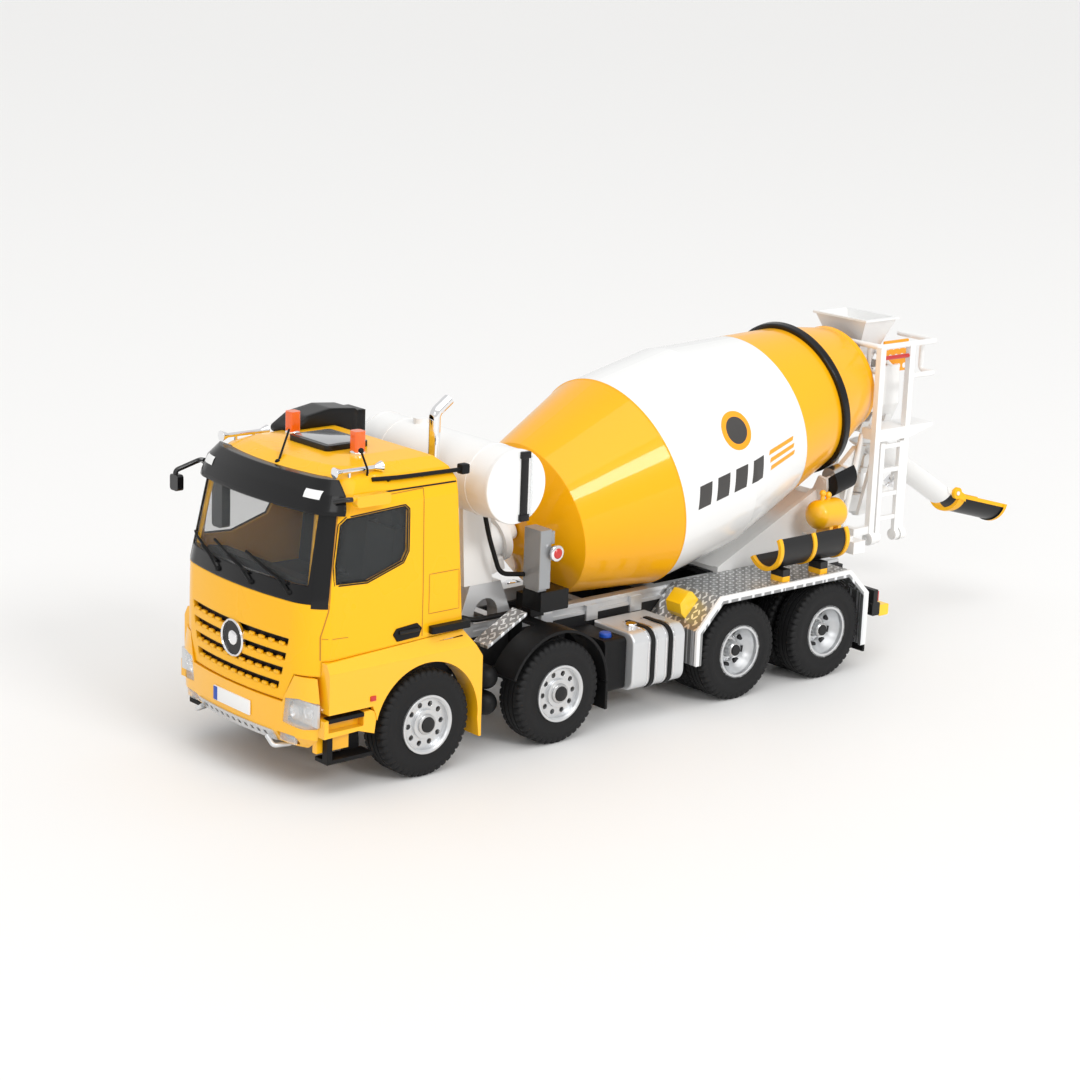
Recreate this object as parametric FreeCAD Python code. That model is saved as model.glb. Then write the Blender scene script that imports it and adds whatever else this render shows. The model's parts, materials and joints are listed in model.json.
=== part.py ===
import FreeCAD, Part
import math
import os

# Toy cement mixer, a 1:50 four-axle mixer truck. Millimetres.
# +X is the front of the truck, +Y its left side, +Z up. The origin is on the ground,
# on the centre line, under the first axle.
# Heights are written for the standard tyre; a different tyre lifts the whole truck.

os.makedirs("parts", exist_ok=True)
V = FreeCAD.Vector

# ---------------------------------------------------------------- driving sizes
# running gear
axle_gap_1_2 = 34.0
axle_gap_2_3 = 51.0
axle_gap_3_4 = 27.0
axle_z = 10.76             # height of the axle line with the standard tyre
tyre_radius = 10.76
tyre_width = 6.8           # single front tyre
dual_tyre_width = 6.2      # each rear tyre
dual_gap = 0.9             # between the two tyres of a pair
tyre_face_y = 24.3         # outer face of every outer tyre
rim_radius = 5.88          # edge of the rim lip
rim_seat_radius = 5.45     # where the tyre sits
rim_bore_radius = 5.1      # inside of the rim barrel
rim_lip = 0.4
stub_radius = 0.8          # stub axle of a steered wheel
shaft_radius = 1.0         # shaft of a rear axle
run_clearance = 0.05       # radial, every turning fit
side_clearance = 0.2       # along the axis, between turning pieces

# steering
kingpin_y = 15.9
kingpin_radius = 0.6
knuckle_radius = 1.25
knuckle_height = 4.0
fork_lug = 1.2             # thickness of the fork ears that hold the kingpin
steer_arm = 5.0            # kingpin to tie rod pin
tie_pin_radius = 0.45
tie_hole_clearance = 0.3   # the open pivots of the steering linkage
tie_rod_width = 1.8
tie_rod_thick = 0.8

# frame
rail_y = 9.5               # outer face of the frame rails
rail_wall = 1.6
rail_z = (14.6, 20.6)
subframe_top = 23.4
frame_front_x = 19.0
arch_gap = 1.75            # tyre tread to wheel arch

# tanks and boxes on the frame
reservoir_radius = 2.45
reservoir_gap = 1.59       # tyre of the second axle to the air reservoirs
control_rise = 2.73        # wheel arch of the second axle to the bottom of the control unit

# cab
cab_wall = 0.9
cab_half_width = 22.8
cab_front_x = 28.3
cab_rear_x = -9.5
glass_wall = 0.6
fit_gap = 0.08             # between pieces of the cab that lie edge to edge
lower_half_width = 24.5    # bumper and fenders

# drum
drum_tilt = 13.2           # degrees, the rear end is higher
drum_front_gap = 6.5       # second axle to the drum's front flange
drum_front_z = 38.95
ring_gap = 9.56            # last axle to the middle of the track ring
belly_radius = 23.1
dish_radius = 16.8
dish_depth = 5.4
hub_radius = 6.0
front_cone_length = 22.4
rear_cone_length = 34.2    # belly to track ring
ring_seat_radius = 16.6
ring_height = 1.2          # the track ring stands this far out of its seat
ring_width = 1.9
mouth_radius = 12.3
mouth_length = 14.8        # track ring to mouth
seam_behind_belly = 19.2   # where the white paint ends on the rear cone
drum_wall = 0.8
roller_radius = 2.4
roller_width = 3.0
roller_pin_radius = 0.6
roller_angle = 35.0        # degrees each side of straight down
roller_gap = 0.08
drum_relief = 0.3          # between the drum and the fenders or deck it passes

# chute
column_radius = 1.1
chute_slope = 31.0         # degrees down from level
chute_length = 30.0
chute_radius = 4.0         # outside of the main trough
chute_wall = 0.5
extension_radius = 4.75
extension_length = 18.6
extension_slope = 15.5
pin_radius = 0.5
pin_clearance = 0.06
ear = 0.8                  # thickness of the lugs and ears
ear_gap = 0.2
rod_radius = 0.55
barrel_radius = 1.05
barrel_wall = 0.45

# ------------------------------------------------------------- derived places
axle_x = [0.0, -axle_gap_1_2, -axle_gap_1_2 - axle_gap_2_3, -axle_gap_1_2 - axle_gap_2_3 - axle_gap_3_4]
lift = tyre_radius - axle_z
arch_radius = tyre_radius + arch_gap
tilt = math.radians(drum_tilt)
ring_x = axle_x[3] - ring_gap
ring_radius = ring_seat_radius + ring_height
drum_front_x = axle_x[1] - drum_front_gap
ring_station = (drum_front_x - ring_x) / math.cos(tilt)
belly_end_station = ring_station - rear_cone_length
belly_start_station = dish_depth + front_cone_length
white_end_station = belly_end_station + seam_behind_belly
mouth_station = ring_station + mouth_length
frame_rear_x = axle_x[3] - 19.0
fender_front_x = axle_x[2] + tyre_radius + 2.65
fender_rear_x = axle_x[3] - tyre_radius - 1.7
deck_z = axle_z + tyre_radius + 2.4
fuel_tank_front_x = axle_x[1] - 20.2
fuel_tank_rear_x = fender_front_x + 2.6


# --------------------------------------------------------------------- helpers
def box(x0, x1, y0, y1, z0, z1):
    return Part.makeBox(x1 - x0, y1 - y0, z1 - z0, V(x0, y0, z0))


def rod(start, end, radius):
    a, b = V(*start), V(*end)
    return Part.makeCylinder(radius, a.distanceToPoint(b), a, b - a)


def ring(start, end, outer, inner):
    return rod(start, end, outer).cut(rod(start, end, inner))


def ball(centre, radius):
    return Part.makeSphere(radius, V(*centre))


def face_of(points):
    return Part.Face(Part.makePolygon([V(*p) for p in points] + [V(*points[0])]))


def prism_y(outline, y0, y1):
    return face_of([(x, y0, z) for x, z in outline]).extrude(V(0, y1 - y0, 0))


def prism_x(outline, x0, x1):
    return face_of([(x0, y, z) for y, z in outline]).extrude(V(x1 - x0, 0, 0))


def prism_z(outline, z0, z1):
    return face_of([(x, y, z0) for x, y in outline]).extrude(V(0, 0, z1 - z0))


def fuse(shapes):
    whole = shapes[0].multiFuse(shapes[1:]) if len(shapes) > 1 else shapes[0]
    return whole.removeSplitter()


def cut(shape, tools):
    for tool in tools:
        shape = shape.cut(tool)
    return shape


def mirrored(shape):
    return shape.mirror(V(0, 0, 0), V(0, 1, 0))


def both_sides(shapes):
    return shapes + [mirrored(s) for s in shapes]


def moved(shape, x, y, z):
    copy = shape.copy()
    copy.translate(V(x, y, z))
    return copy


def round_edges(shape, radius, direction):
    axis = V(*direction)
    along = [e for e in shape.Edges
             if e.Curve.TypeId == "Part::GeomLine" and abs(abs(e.tangentAt(e.FirstParameter).dot(axis)) - 1) < 1e-6]
    return shape.makeFillet(radius, along)


def bent_rod(points, radius, bend):
    # a round bar through the points, with an arc of the given radius at each turn
    corners = [V(*p) for p in points]
    edges = []
    start = corners[0]
    for before, corner, after in zip(corners, corners[1:], corners[2:]):
        to_before = (before - corner).normalize()
        to_after = (after - corner).normalize()
        half = to_before.getAngle(to_after) / 2
        back = bend / math.tan(half)
        a = corner + to_before * back
        b = corner + to_after * back
        middle_dir = (to_before + to_after).normalize()
        middle = corner + middle_dir * (bend / math.sin(half) - bend)
        edges.append(Part.makeLine(start, a))
        edges.append(Part.Arc(a, middle, b).toShape())
        start = b
    edges.append(Part.makeLine(start, corners[-1]))
    wire = Part.Wire(edges)
    first = corners[1] - corners[0]
    profile = Part.Wire(Part.makeCircle(radius, corners[0], first))
    return wire.makePipeShell([profile], True, False)


def turned(profile, axis_point, axis_dir):
    return profile.revolve(V(*axis_point), V(*axis_dir), 360)


def on_drum(shape):
    # from a frame with +X along the drum's axis towards the mouth and +Z away from the ground
    u = V(-math.cos(tilt), 0, math.sin(tilt))
    n = V(math.sin(tilt), 0, math.cos(tilt))
    turn = FreeCAD.Rotation(u, V(0, -1, 0), n, "XYZ")
    copy = shape.copy()
    copy.Placement = FreeCAD.Placement(V(drum_front_x, 0, drum_front_z), turn).multiply(copy.Placement)
    return copy


def drum_point(station, y, radial):
    c, s = math.cos(tilt), math.sin(tilt)
    return (drum_front_x - station * c + radial * s, y, drum_front_z + station * s + radial * c)


def save(name, shapes):
    shapes = shapes if isinstance(shapes, list) else [shapes]
    solids = [solid for shape in shapes for solid in shape.Solids]
    whole = solids[0] if len(solids) == 1 else Part.makeCompound(solids)
    whole = moved(whole, 0, 0, lift)
    whole.exportStep("parts/" + name + ".step")
    print(name, len(solids), "valid" if whole.isValid() else "INVALID", round(whole.Volume, 1))


# ---------------------------------------------------------------- running gear
def tyre_profile(inner_y, width):
    # section of a tyre from its bead to its tread, closed on the rim seat
    outer_y = inner_y + width
    lip_radius = rim_radius + 0.05
    lip = rim_lip + 0.05
    return [(rim_seat_radius, inner_y + lip), (lip_radius, inner_y + lip), (lip_radius, inner_y + 0.1),
            (lip_radius + 1.6, inner_y - 0.0), (tyre_radius - 0.9, inner_y + 0.05),
            (tyre_radius - 0.25, inner_y + 0.35), (tyre_radius, inner_y + 0.8),
            (tyre_radius, outer_y - 0.8), (tyre_radius - 0.25, outer_y - 0.35),
            (tyre_radius - 0.9, outer_y - 0.05), (lip_radius + 1.6, outer_y), (lip_radius, outer_y - 0.1),
            (lip_radius, outer_y - lip), (rim_seat_radius, outer_y - lip)]


def tyre(x, inner_y, width):
    outline = [(x + r, y, axle_z) for r, y in tyre_profile(inner_y, width)]
    body = turned(face_of(outline), (x, 0, axle_z), (0, 1, 0))
    groove_depth = 0.4
    for share in (0.27, 0.5, 0.73):
        y = inner_y + width * share
        body = body.cut(ring((x, y - 0.2, axle_z), (x, y + 0.2, axle_z), tyre_radius + 1, tyre_radius - groove_depth))
    return body


def barrel(x, y0, y1):
    shape = ring((x, y0 + rim_lip, axle_z), (x, y1 - rim_lip, axle_z), rim_seat_radius, rim_bore_radius)
    lips = [ring((x, y0, axle_z), (x, y0 + rim_lip, axle_z), rim_radius, rim_bore_radius),
            ring((x, y1 - rim_lip, axle_z), (x, y1, axle_z), rim_radius, rim_bore_radius)]
    return [shape] + lips


def holes_in_ring(x, y0, y1, count, circle, radius):
    holes = []
    for i in range(count):
        angle = 2 * math.pi * i / count
        hx, hz = x + circle * math.cos(angle), axle_z + circle * math.sin(angle)
        holes.append(rod((hx, y0, hz), (hx, y1, hz), radius))
    return holes


front_rim_face_y = tyre_face_y + 0.15
hub_inner_y = 20.1


def front_rim(x):
    inner_y = tyre_face_y - tyre_width
    disc = (front_rim_face_y - 1.5, front_rim_face_y - 0.8)
    pieces = barrel(x, inner_y, front_rim_face_y)
    pieces.append(rod((x, disc[0], axle_z), (x, disc[1], axle_z), rim_bore_radius + 0.1))
    pieces.append(rod((x, disc[0], axle_z), (x, front_rim_face_y - 0.25, axle_z), 2.9))
    pieces.append(rod((x, hub_inner_y, axle_z), (x, disc[1], axle_z), 2.1))
    pieces.append(rod((x, disc[1], axle_z), (x, front_rim_face_y + 0.25, axle_z), 1.5))
    shape = fuse(pieces)
    holes = holes_in_ring(x, disc[0] - 1, disc[1] + 1, 10, 4.0, 0.55)
    bore = rod((x, hub_inner_y - 1, axle_z), (x, disc[1] - 0.1, axle_z), stub_radius + run_clearance)
    return cut(shape, holes + [bore])


def rear_rims(x):
    outer = (tyre_face_y - dual_tyre_width, tyre_face_y + 0.1)
    inner = (outer[0] - dual_gap - dual_tyre_width, outer[0] - dual_gap)
    disc = (outer[0] + 1.6, outer[0] + 2.3)
    pieces = barrel(x, *outer) + barrel(x, *inner)
    pieces.append(rod((x, disc[0], axle_z), (x, disc[1], axle_z), rim_bore_radius + 0.1))
    pieces.append(rod((x, inner[1] - 1.6, axle_z), (x, inner[1] - 0.9, axle_z), rim_bore_radius + 0.1))
    pieces.append(rod((x, inner[1] - 1.6, axle_z), (x, disc[1] + 0.5, axle_z), 2.4))
    pieces.append(rod((x, disc[1], axle_z), (x, disc[1] + 2.4, axle_z), 1.7))
    shape = fuse(pieces)
    return cut(shape, holes_in_ring(x, disc[0] - 1, disc[1] + 1, 8, 3.8, 0.6))


def build_wheels():
    sides = (("left", 1), ("right", -1))
    for number, x in enumerate(axle_x[:2], 1):
        rim = front_rim(x)
        rubber = tyre(x, tyre_face_y - tyre_width, tyre_width)
        for side, sign in sides:
            name = "wheel_%d_%s" % (number, side)
            save(name + "_rim", rim if sign > 0 else mirrored(rim))
            save(name + "_tyre", rubber if sign > 0 else mirrored(rubber))
    for number, x in enumerate(axle_x[2:], 3):
        rims = rear_rims(x)
        reach = tyre_face_y - 2.5
        shaft = rod((x, -reach, axle_z), (x, reach, axle_z), shaft_radius)
        save("wheelset_%d" % number, fuse([shaft, rims, mirrored(rims)]))
        outer_y = tyre_face_y - dual_tyre_width
        inner_y = outer_y - dual_gap - dual_tyre_width
        tyres = [tyre(x, outer_y, dual_tyre_width), tyre(x, inner_y, dual_tyre_width)]
        save("wheelset_%d_tyres" % number, both_sides(tyres))


fork_back = kingpin_y - knuckle_radius - 0.9      # face of the fork plate behind the knuckle
knuckle_z = (axle_z - knuckle_height / 2, axle_z + knuckle_height / 2)
arm_z = (knuckle_z[0] + 0.2, knuckle_z[0] + 1.1)


def knuckle(x):
    barrel_part = rod((x, kingpin_y, knuckle_z[0]), (x, kingpin_y, knuckle_z[1]), knuckle_radius)
    shoulder = rod((x, kingpin_y, axle_z), (x, hub_inner_y - side_clearance, axle_z), 1.3)
    stub = rod((x, hub_inner_y - 0.5, axle_z), (x, front_rim_face_y - 1.3, axle_z), stub_radius)
    arm = box(x - steer_arm, x, kingpin_y - 0.75, kingpin_y + 0.75, *arm_z)
    eye = rod((x - steer_arm, kingpin_y, arm_z[0]), (x - steer_arm, kingpin_y, arm_z[1]), 1.05)
    tie_pin = rod((x - steer_arm, kingpin_y, arm_z[0] - tie_rod_thick - 0.5),
                  (x - steer_arm, kingpin_y, arm_z[1]), tie_pin_radius)
    bore = rod((x, kingpin_y, knuckle_z[0] - 1), (x, kingpin_y, knuckle_z[1] + 1), kingpin_radius + run_clearance)
    return fuse([barrel_part, shoulder, stub, arm, eye, tie_pin]).cut(bore)


def tie_rod(x):
    z1 = arm_z[0] - 0.15
    z0 = z1 - tie_rod_thick
    half = tie_rod_width / 2
    px = x - steer_arm
    bar = box(px - half, px + half, -kingpin_y, kingpin_y, z0, z1)
    eyes = [rod((px, y, z0), (px, y, z1), half) for y in (-kingpin_y, kingpin_y)]
    holes = [rod((px, y, z0 - 1), (px, y, z1 + 1), tie_pin_radius + tie_hole_clearance)
             for y in (-kingpin_y, kingpin_y)]
    return cut(fuse([bar] + eyes), holes)


def build_steering():
    for number, x in enumerate(axle_x[:2], 1):
        shape = knuckle(x)
        save("steering_knuckle_%d_left" % number, shape)
        save("steering_knuckle_%d_right" % number, mirrored(shape))
        save("tie_rod_%d" % number, tie_rod(x))


def front_beam(x):
    half_height = knuckle_height / 2 + side_clearance + fork_lug
    beam = box(x - 1.3, x + 1.3, 0, fork_back, axle_z - 1.0, axle_z + 1.2)
    plate = box(x - 1.3, x + 1.3, fork_back - 1.1, fork_back, axle_z - half_height, axle_z + half_height)
    pieces = [beam, plate]
    for low in (axle_z - half_height, axle_z + half_height - fork_lug):
        pieces.append(box(x - 1.3, x + 1.3, fork_back - 1.1, kingpin_y, low, low + fork_lug))
        pieces.append(rod((x, kingpin_y, low), (x, kingpin_y, low + fork_lug), 1.3))
    pieces.append(rod((x, kingpin_y, axle_z - half_height), (x, kingpin_y, axle_z + half_height), kingpin_radius))
    pieces += leaf_spring(x, axle_z + 1.0)
    return fuse(both_sides(pieces))


def leaf_spring(x, pad_z):
    # a pack of three leaves between the beam and the rail
    y0, y1 = rail_y - rail_wall, rail_y
    leaves = [box(x - 1.4, x + 1.4, y0, y1, pad_z, rail_z[0] - 1.2)]
    for step, half_length in enumerate((5.0, 7.0, 8.5)):
        z = rail_z[0] - 1.2 + 0.4 * step
        leaves.append(box(x - half_length, x + half_length, y0, y1, z, z + 0.4))
    return leaves


def rear_beam(x):
    length = rail_y + 0.6
    tube = rod((x, -length, axle_z), (x, length, axle_z), 2.1)
    housing = ball((x, 0, axle_z), 4.0).common(box(x - 3.6, x + 3.6, -4, 4, axle_z - 3.4, axle_z + 3.6))
    bore = rod((x, -length - 1, axle_z), (x, length + 1, axle_z), shaft_radius + run_clearance)
    springs = leaf_spring(x, axle_z + 1.0)
    return fuse([tube, housing] + both_sides(springs)).cut(bore)


def build_axle_beams():
    beams = [front_beam(x) for x in axle_x[:2]] + [rear_beam(x) for x in axle_x[2:]]
    save("axle_beams", beams)


# ----------------------------------------------------------------------- frame
underrun_z = (10.6, 13.6)


def build_chassis():
    z0, z1 = rail_z
    channel = [(rail_y, z0), (rail_y, z1), (rail_y - 3.0, z1), (rail_y - 3.0, z1 - 0.8),
               (rail_y - rail_wall, z1 - 0.8), (rail_y - rail_wall, z0 + 0.8), (rail_y - 3.0, z0 + 0.8),
               (rail_y - 3.0, z0)]
    rail = prism_x(channel, frame_rear_x, frame_front_x)
    inner = rail_y - rail_wall
    places = [frame_front_x - 3, axle_x[0] - 9, axle_x[1] + 9, axle_x[1] - 12,
              axle_x[2] + 12, (axle_x[2] + axle_x[3]) / 2, frame_rear_x + 2]
    members = [box(x - 1.2, x + 1.2, -inner, inner, z0 + 1.2, z1 - 1.2) for x in places]
    engine = box(axle_x[0] - 6, axle_x[0] + 12, -5.6, 5.6, z0 - 1.2, z1 + 4.0)
    gearbox = box(axle_x[0] - 20, axle_x[0] - 5, -3.6, 3.6, z0 - 0.2, z1 - 1.2)
    hanger = [box(frame_rear_x - 1.5, frame_rear_x + 1.0, y, y + 1.6, underrun_z[0], z1 - 0.8)
              for y in (rail_y - rail_wall, -rail_y)]
    bar = round_edges(box(frame_rear_x - 1.5, frame_rear_x + 1.0, -21.5, 21.5, *underrun_z), 0.4, (0, 1, 0))
    lamps = [box(frame_rear_x - 0.6, frame_rear_x + 0.8, y, y + 5.0, underrun_z[1] - 0.2, underrun_z[1] + 3.0)
             for y in (16.5, -21.5)]
    save("chassis_frame", fuse([rail, mirrored(rail)] + members + [engine, gearbox] + hanger + [bar] + lamps))


pedestal_x = (drum_front_x + 6.0, drum_front_x + 22.5)


def build_mixer_subframe():
    # the long beams under the drum and the pedestal that carries the drum's gearbox
    front_x = pedestal_x[1] + 2.0
    rear_x = frame_rear_x
    z0 = rail_z[1]
    beam = box(rear_x, front_x, rail_y - 2.2, rail_y, z0, subframe_top)
    groove = box(rear_x - 1, front_x + 1, rail_y - 0.4, rail_y + 1, z0 + 0.7, subframe_top - 0.9)
    beam = beam.cut(groove)
    inner = rail_y - 2.2
    members = [box(x - 1.2, x + 1.2, -inner, inner, z0 + 0.2, z0 + 1.6)
               for x in (pedestal_x[0] + 1.5, axle_x[1] - 22, axle_x[2] + 8, axle_x[3] + 12)]
    base, top = pedestal_x, (pedestal_x[0] + 4.5, pedestal_x[1] - 4.0)
    seat_z = gearbox_bottom_z()
    side = prism_y([(base[0], z0), (base[1], z0), (top[1], seat_z), (top[0], seat_z)], rail_y - 3.2, rail_y)
    middle_x = (base[0] + base[1]) / 2
    arch = fuse([rod((middle_x, 0, z0 + 4.6), (middle_x, 40, z0 + 4.6), 3.1),
                 box(middle_x - 3.1, middle_x + 3.1, 0, 40, z0 + 1.2, z0 + 4.6)])
    side = side.cut(arch)
    table = box(top[0], top[1], -rail_y, rail_y, seat_z - 1.4, seat_z)
    brackets = []
    for x in (axle_x[1] - 8.5, axle_x[1] - 21, fuel_tank_rear_x + 1.5):
        brackets.append(box(x - 1.6, x + 1.6, rail_y, rail_y + 0.5, z0 - 1.4, subframe_top - 0.9))
        brackets.append(box(x - 1.6, x + 1.6, rail_y - 0.4, rail_y, z0, subframe_top - 0.9))
    save("mixer_subframe", fuse(both_sides([beam, side] + brackets) + members + [table]))


def gearbox_bottom_z():
    return drum_front_z - 12.0 * math.tan(tilt) - 4.6


def build_drum_gearbox():
    case = [rod((-19.0, 0, 0), (-6.0, 0, 0), 4.4), rod((-6.0, 0, 0), (-4.2, 0, 0), 5.4),
            rod((-21.5, 0, 0), (-19.0, 0, 0), 3.2), rod((-13.0, 0, 0), (-11.4, 0, 0), 5.0)]
    motor = rod((-27.0, 0, 0), (-21.5, 0, 0), 2.3)
    foot = box(-16.0, -7.0, -5.0, 5.0, -5.2, -2.5)
    body = on_drum(fuse(case + [motor]))
    seat = on_drum(foot).common(box(-200, 60, -9, 9, gearbox_bottom_z(), 80))
    spigot = on_drum(rod((-4.4, 0, 0), (-0.4, 0, 0), 2.2))
    trim = box(-200, 60, -20, 20, gearbox_bottom_z(), 90)
    save("drum_gearbox", fuse([body.common(trim), seat, spigot]))


# ------------------------------------------------------------------------ drum
def slope_radius(station):
    # outside radius of the rear cone at a station
    share = (station - belly_end_station) / rear_cone_length
    return belly_radius + (ring_seat_radius - belly_radius) * share


def drum_section(outline):
    return turned(face_of([(s, 0, r) for s, r in outline]), (0, 0, 0), (1, 0, 0))


def build_drum():
    w = drum_wall
    start, end = belly_start_station, belly_end_station
    white_end = white_end_station
    front = drum_section([(0, 0), (0, hub_radius), (dish_depth, dish_radius), (start, belly_radius),
                          (start, belly_radius - w), (dish_depth + w, dish_radius - w), (w * 1.6, hub_radius - w),
                          (w * 1.6, 0)])
    belly = drum_section([(start, belly_radius), (end, belly_radius), (white_end, slope_radius(white_end)),
                          (white_end, slope_radius(white_end) - w), (end, belly_radius - w),
                          (start, belly_radius - w)])
    ring_a, ring_b = ring_station - ring_width / 2, ring_station + ring_width / 2
    mouth = mouth_station
    rear = drum_section([(white_end, slope_radius(white_end)), (ring_a, slope_radius(ring_a)),
                         (ring_a, ring_seat_radius - 0.3), (ring_b, ring_seat_radius - 0.3),
                         (ring_b, ring_seat_radius), (mouth - 1.2, mouth_radius), (mouth, mouth_radius),
                         (mouth, mouth_radius - w), (mouth - 1.2, mouth_radius - w),
                         (ring_b, ring_seat_radius - w - 0.4), (ring_a, slope_radius(ring_a) - w - 0.6),
                         (white_end, slope_radius(white_end) - w)])
    track = drum_section([(ring_a, ring_seat_radius - 0.3), (ring_a, ring_radius - 0.25),
                          (ring_a + 0.25, ring_radius), (ring_b - 0.25, ring_radius),
                          (ring_b, ring_radius - 0.25), (ring_b, ring_seat_radius - 0.3)])
    save("drum_cones", [on_drum(front), on_drum(rear)])
    save("drum_belly", on_drum(belly))
    save("drum_track_ring", on_drum(track))


def roller_centre(side):
    # across the drum's axis, in the drum's own frame
    reach = ring_radius + roller_gap + roller_radius
    angle = math.radians(roller_angle)
    return (-side * reach * math.sin(angle), -reach * math.cos(angle))


def build_rollers():
    for name, side in (("left", 1), ("right", -1)):
        y, z = roller_centre(side)
        a, b = ring_station - roller_width / 2, ring_station + roller_width / 2
        wheel = ring((a, y, z), (b, y, z), roller_radius, roller_pin_radius + run_clearance)
        save("support_roller_" + name, on_drum(wheel))
    guards = []
    for side in (1, -1):
        y, z = roller_centre(side)
        a, b = ring_station - 3.2, ring_station + 3.2
        outer, inner = roller_radius + 1.5, roller_radius + 0.8
        cover = ring((a, y, z), (b, y, z), outer, inner)
        ends = [rod((p, y, z), (p + 0.6, y, z), outer) for p in (a, b - 0.6)]
        away = math.atan2(z, y)
        keep = Part.makeBox(20, 20, 10, V(a - 5, y - 10, z))
        keep.rotate(V(0, y, z), V(1, 0, 0), math.degrees(away) - 90)
        pin_hole = rod((a - 1, y, z), (b + 1, y, z), roller_pin_radius + 0.02)
        guard = on_drum(fuse([cover] + ends).common(keep).cut(pin_hole))
        guards.append(guard.cut(box(ring_x - 20, ring_x + 20, -rail_y, rail_y, 0, 100)))
    save("roller_guards", guards)


# ---------------------------------------------------------------- rear pedestal
hood_x = drum_point(mouth_station, 0, 0)[0] - 4.4
column_x = drum_point(mouth_station, 0, 0)[0] - 10.6
column_z = (27.6, 40.0)
bearing_z = (29.4, 33.2)


def build_rear_pedestal():
    mouth_low = drum_point(mouth_station, 0, -mouth_radius)
    z0 = subframe_top
    y0, y1 = rail_y - 1.4, rail_y
    front_x = axle_x[3] + 20.0
    ring_low = drum_point(ring_station, 0, -ring_radius)
    rx = ring_low[0]
    rear_x = rx - 9.0
    side = prism_y([(front_x, z0), (front_x, z0 + 1.6), (rx + 5.0, ring_low[2] - 2.6), (rx - 1.5, ring_low[2] + 0.3),
                    (rear_x, mouth_low[2] - 2.4), (rear_x - 3.0, mouth_low[2] - 2.4), (frame_rear_x, z0 + 4),
                    (frame_rear_x, z0)], y0, y1)
    pan = prism_y([(front_x, z0 + 0.4), (front_x, z0 + 1.4), (rx + 5.0, ring_low[2] - 2.9),
                   (rx + 5.0, ring_low[2] - 3.9)], -y0, y0)
    stays = []
    for sign in (1, -1):
        y, z = roller_centre(sign)
        flank = 1 if y > 0 else -1
        outline = [(y0 * flank, z - 7.5), ((y0 + 2.4) * flank, z - 7.5), (y + 1.0 * flank, z - 1.5),
                   (y + 1.2 * flank, z + 0.8), (y - 1.2 * flank, z + 1.2), (y0 * flank, z - 2.5)]
        for station in (ring_station - 3.9, ring_station + 3.2):
            stays.append(on_drum(prism_x(outline, station, station + 0.7)))
        pin = rod((ring_station - 4.0, y, z), (ring_station + 4.0, y, z), roller_pin_radius)
        stays.append(on_drum(pin))
    cross = box(rx - 5.5, rx + 2.5, -y0, y0, ring_low[2] - 6.2, ring_low[2] - 5.0)
    arm = box(column_x, frame_rear_x + 1, -2.4, 2.4, *bearing_z)
    eye = rod((column_x, 0, bearing_z[0]), (column_x, 0, bearing_z[1]), 2.4)
    end_plate = box(frame_rear_x - 0.01, frame_rear_x + 1.4, -y0, y0, z0, ring_low[2] - 5.0)
    bore = rod((column_x, 0, bearing_z[0] - 5), (column_x, 0, bearing_z[1] + 5), column_radius + run_clearance)
    body = fuse(both_sides([side]) + [pan, cross, end_plate, arm, eye] + stays)
    save("rear_pedestal", [cut(body, [bore]), discharge_hood()])


hood_bottom_z = drum_point(mouth_station, 0, 0)[2] - 14.6
hood_top_z = drum_point(mouth_station, 0, 0)[2] + 3.0


def hood_body(inset):
    top, bottom = hood_top_z, hood_bottom_z
    x0 = hood_x
    outline = [(x0 - inset, top), (x0 - 9.0 + inset, top), (x0 - 10.2 + inset, bottom),
               (x0 - 3.0 - inset, bottom), (x0 - inset, bottom + 2.6)]
    wide, narrow = 7.6 - inset, 3.4 - inset
    across = [(-wide, top), (wide, top), (wide, bottom + 8.5), (narrow, bottom), (-narrow, bottom),
              (-wide, bottom + 8.5)]
    return prism_y(outline, -wide, wide).common(prism_x(across, x0 - 30, x0 + 5))


def discharge_hood():
    # catches what leaves the mouth and drops it into the head of the chute
    outer = hood_body(0.0)
    inner = hood_body(0.7)
    down = moved(inner, 0, 0, -1.2).common(box(-400, 0, -20, 20, hood_bottom_z - 5, hood_bottom_z + 2))
    up = moved(inner, 0, 0, 1.2).common(box(-400, 0, -20, 20, hood_top_z - 2, hood_top_z + 5))
    front = box(hood_x - 2.0, hood_x + 3, -7.6 + 0.7, 7.6 - 0.7, hood_bottom_z + 4.6, hood_top_z + 1)
    shell = cut(outer, [inner, down, up, front])
    legs = both_sides([prism_y([(hood_x - 8.6, hood_bottom_z + 6), (hood_x - 6.6, hood_bottom_z + 6),
                                (hood_x + 0.5, bearing_z[1] - 3.5), (hood_x - 2.5, bearing_z[1] - 3.5)], 5.6, 6.6)])
    return fuse([shell] + legs)


# ---------------------------------------------------------------------- hopper
hopper_x = drum_point(mouth_station, 0, 0)[0] - 5.9
hopper_top_z = drum_point(mouth_station, 0, 0)[2] + 14.2


def loft_of(lower, upper):
    # straight-sided funnel between two rectangles given as x0, x1, half width, z
    def wire(x0, x1, half, z):
        return Part.makePolygon([V(x0, -half, z), V(x1, -half, z), V(x1, half, z), V(x0, half, z), V(x0, -half, z)])
    return Part.makeLoft([wire(*lower), wire(*upper)], True, True)


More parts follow.
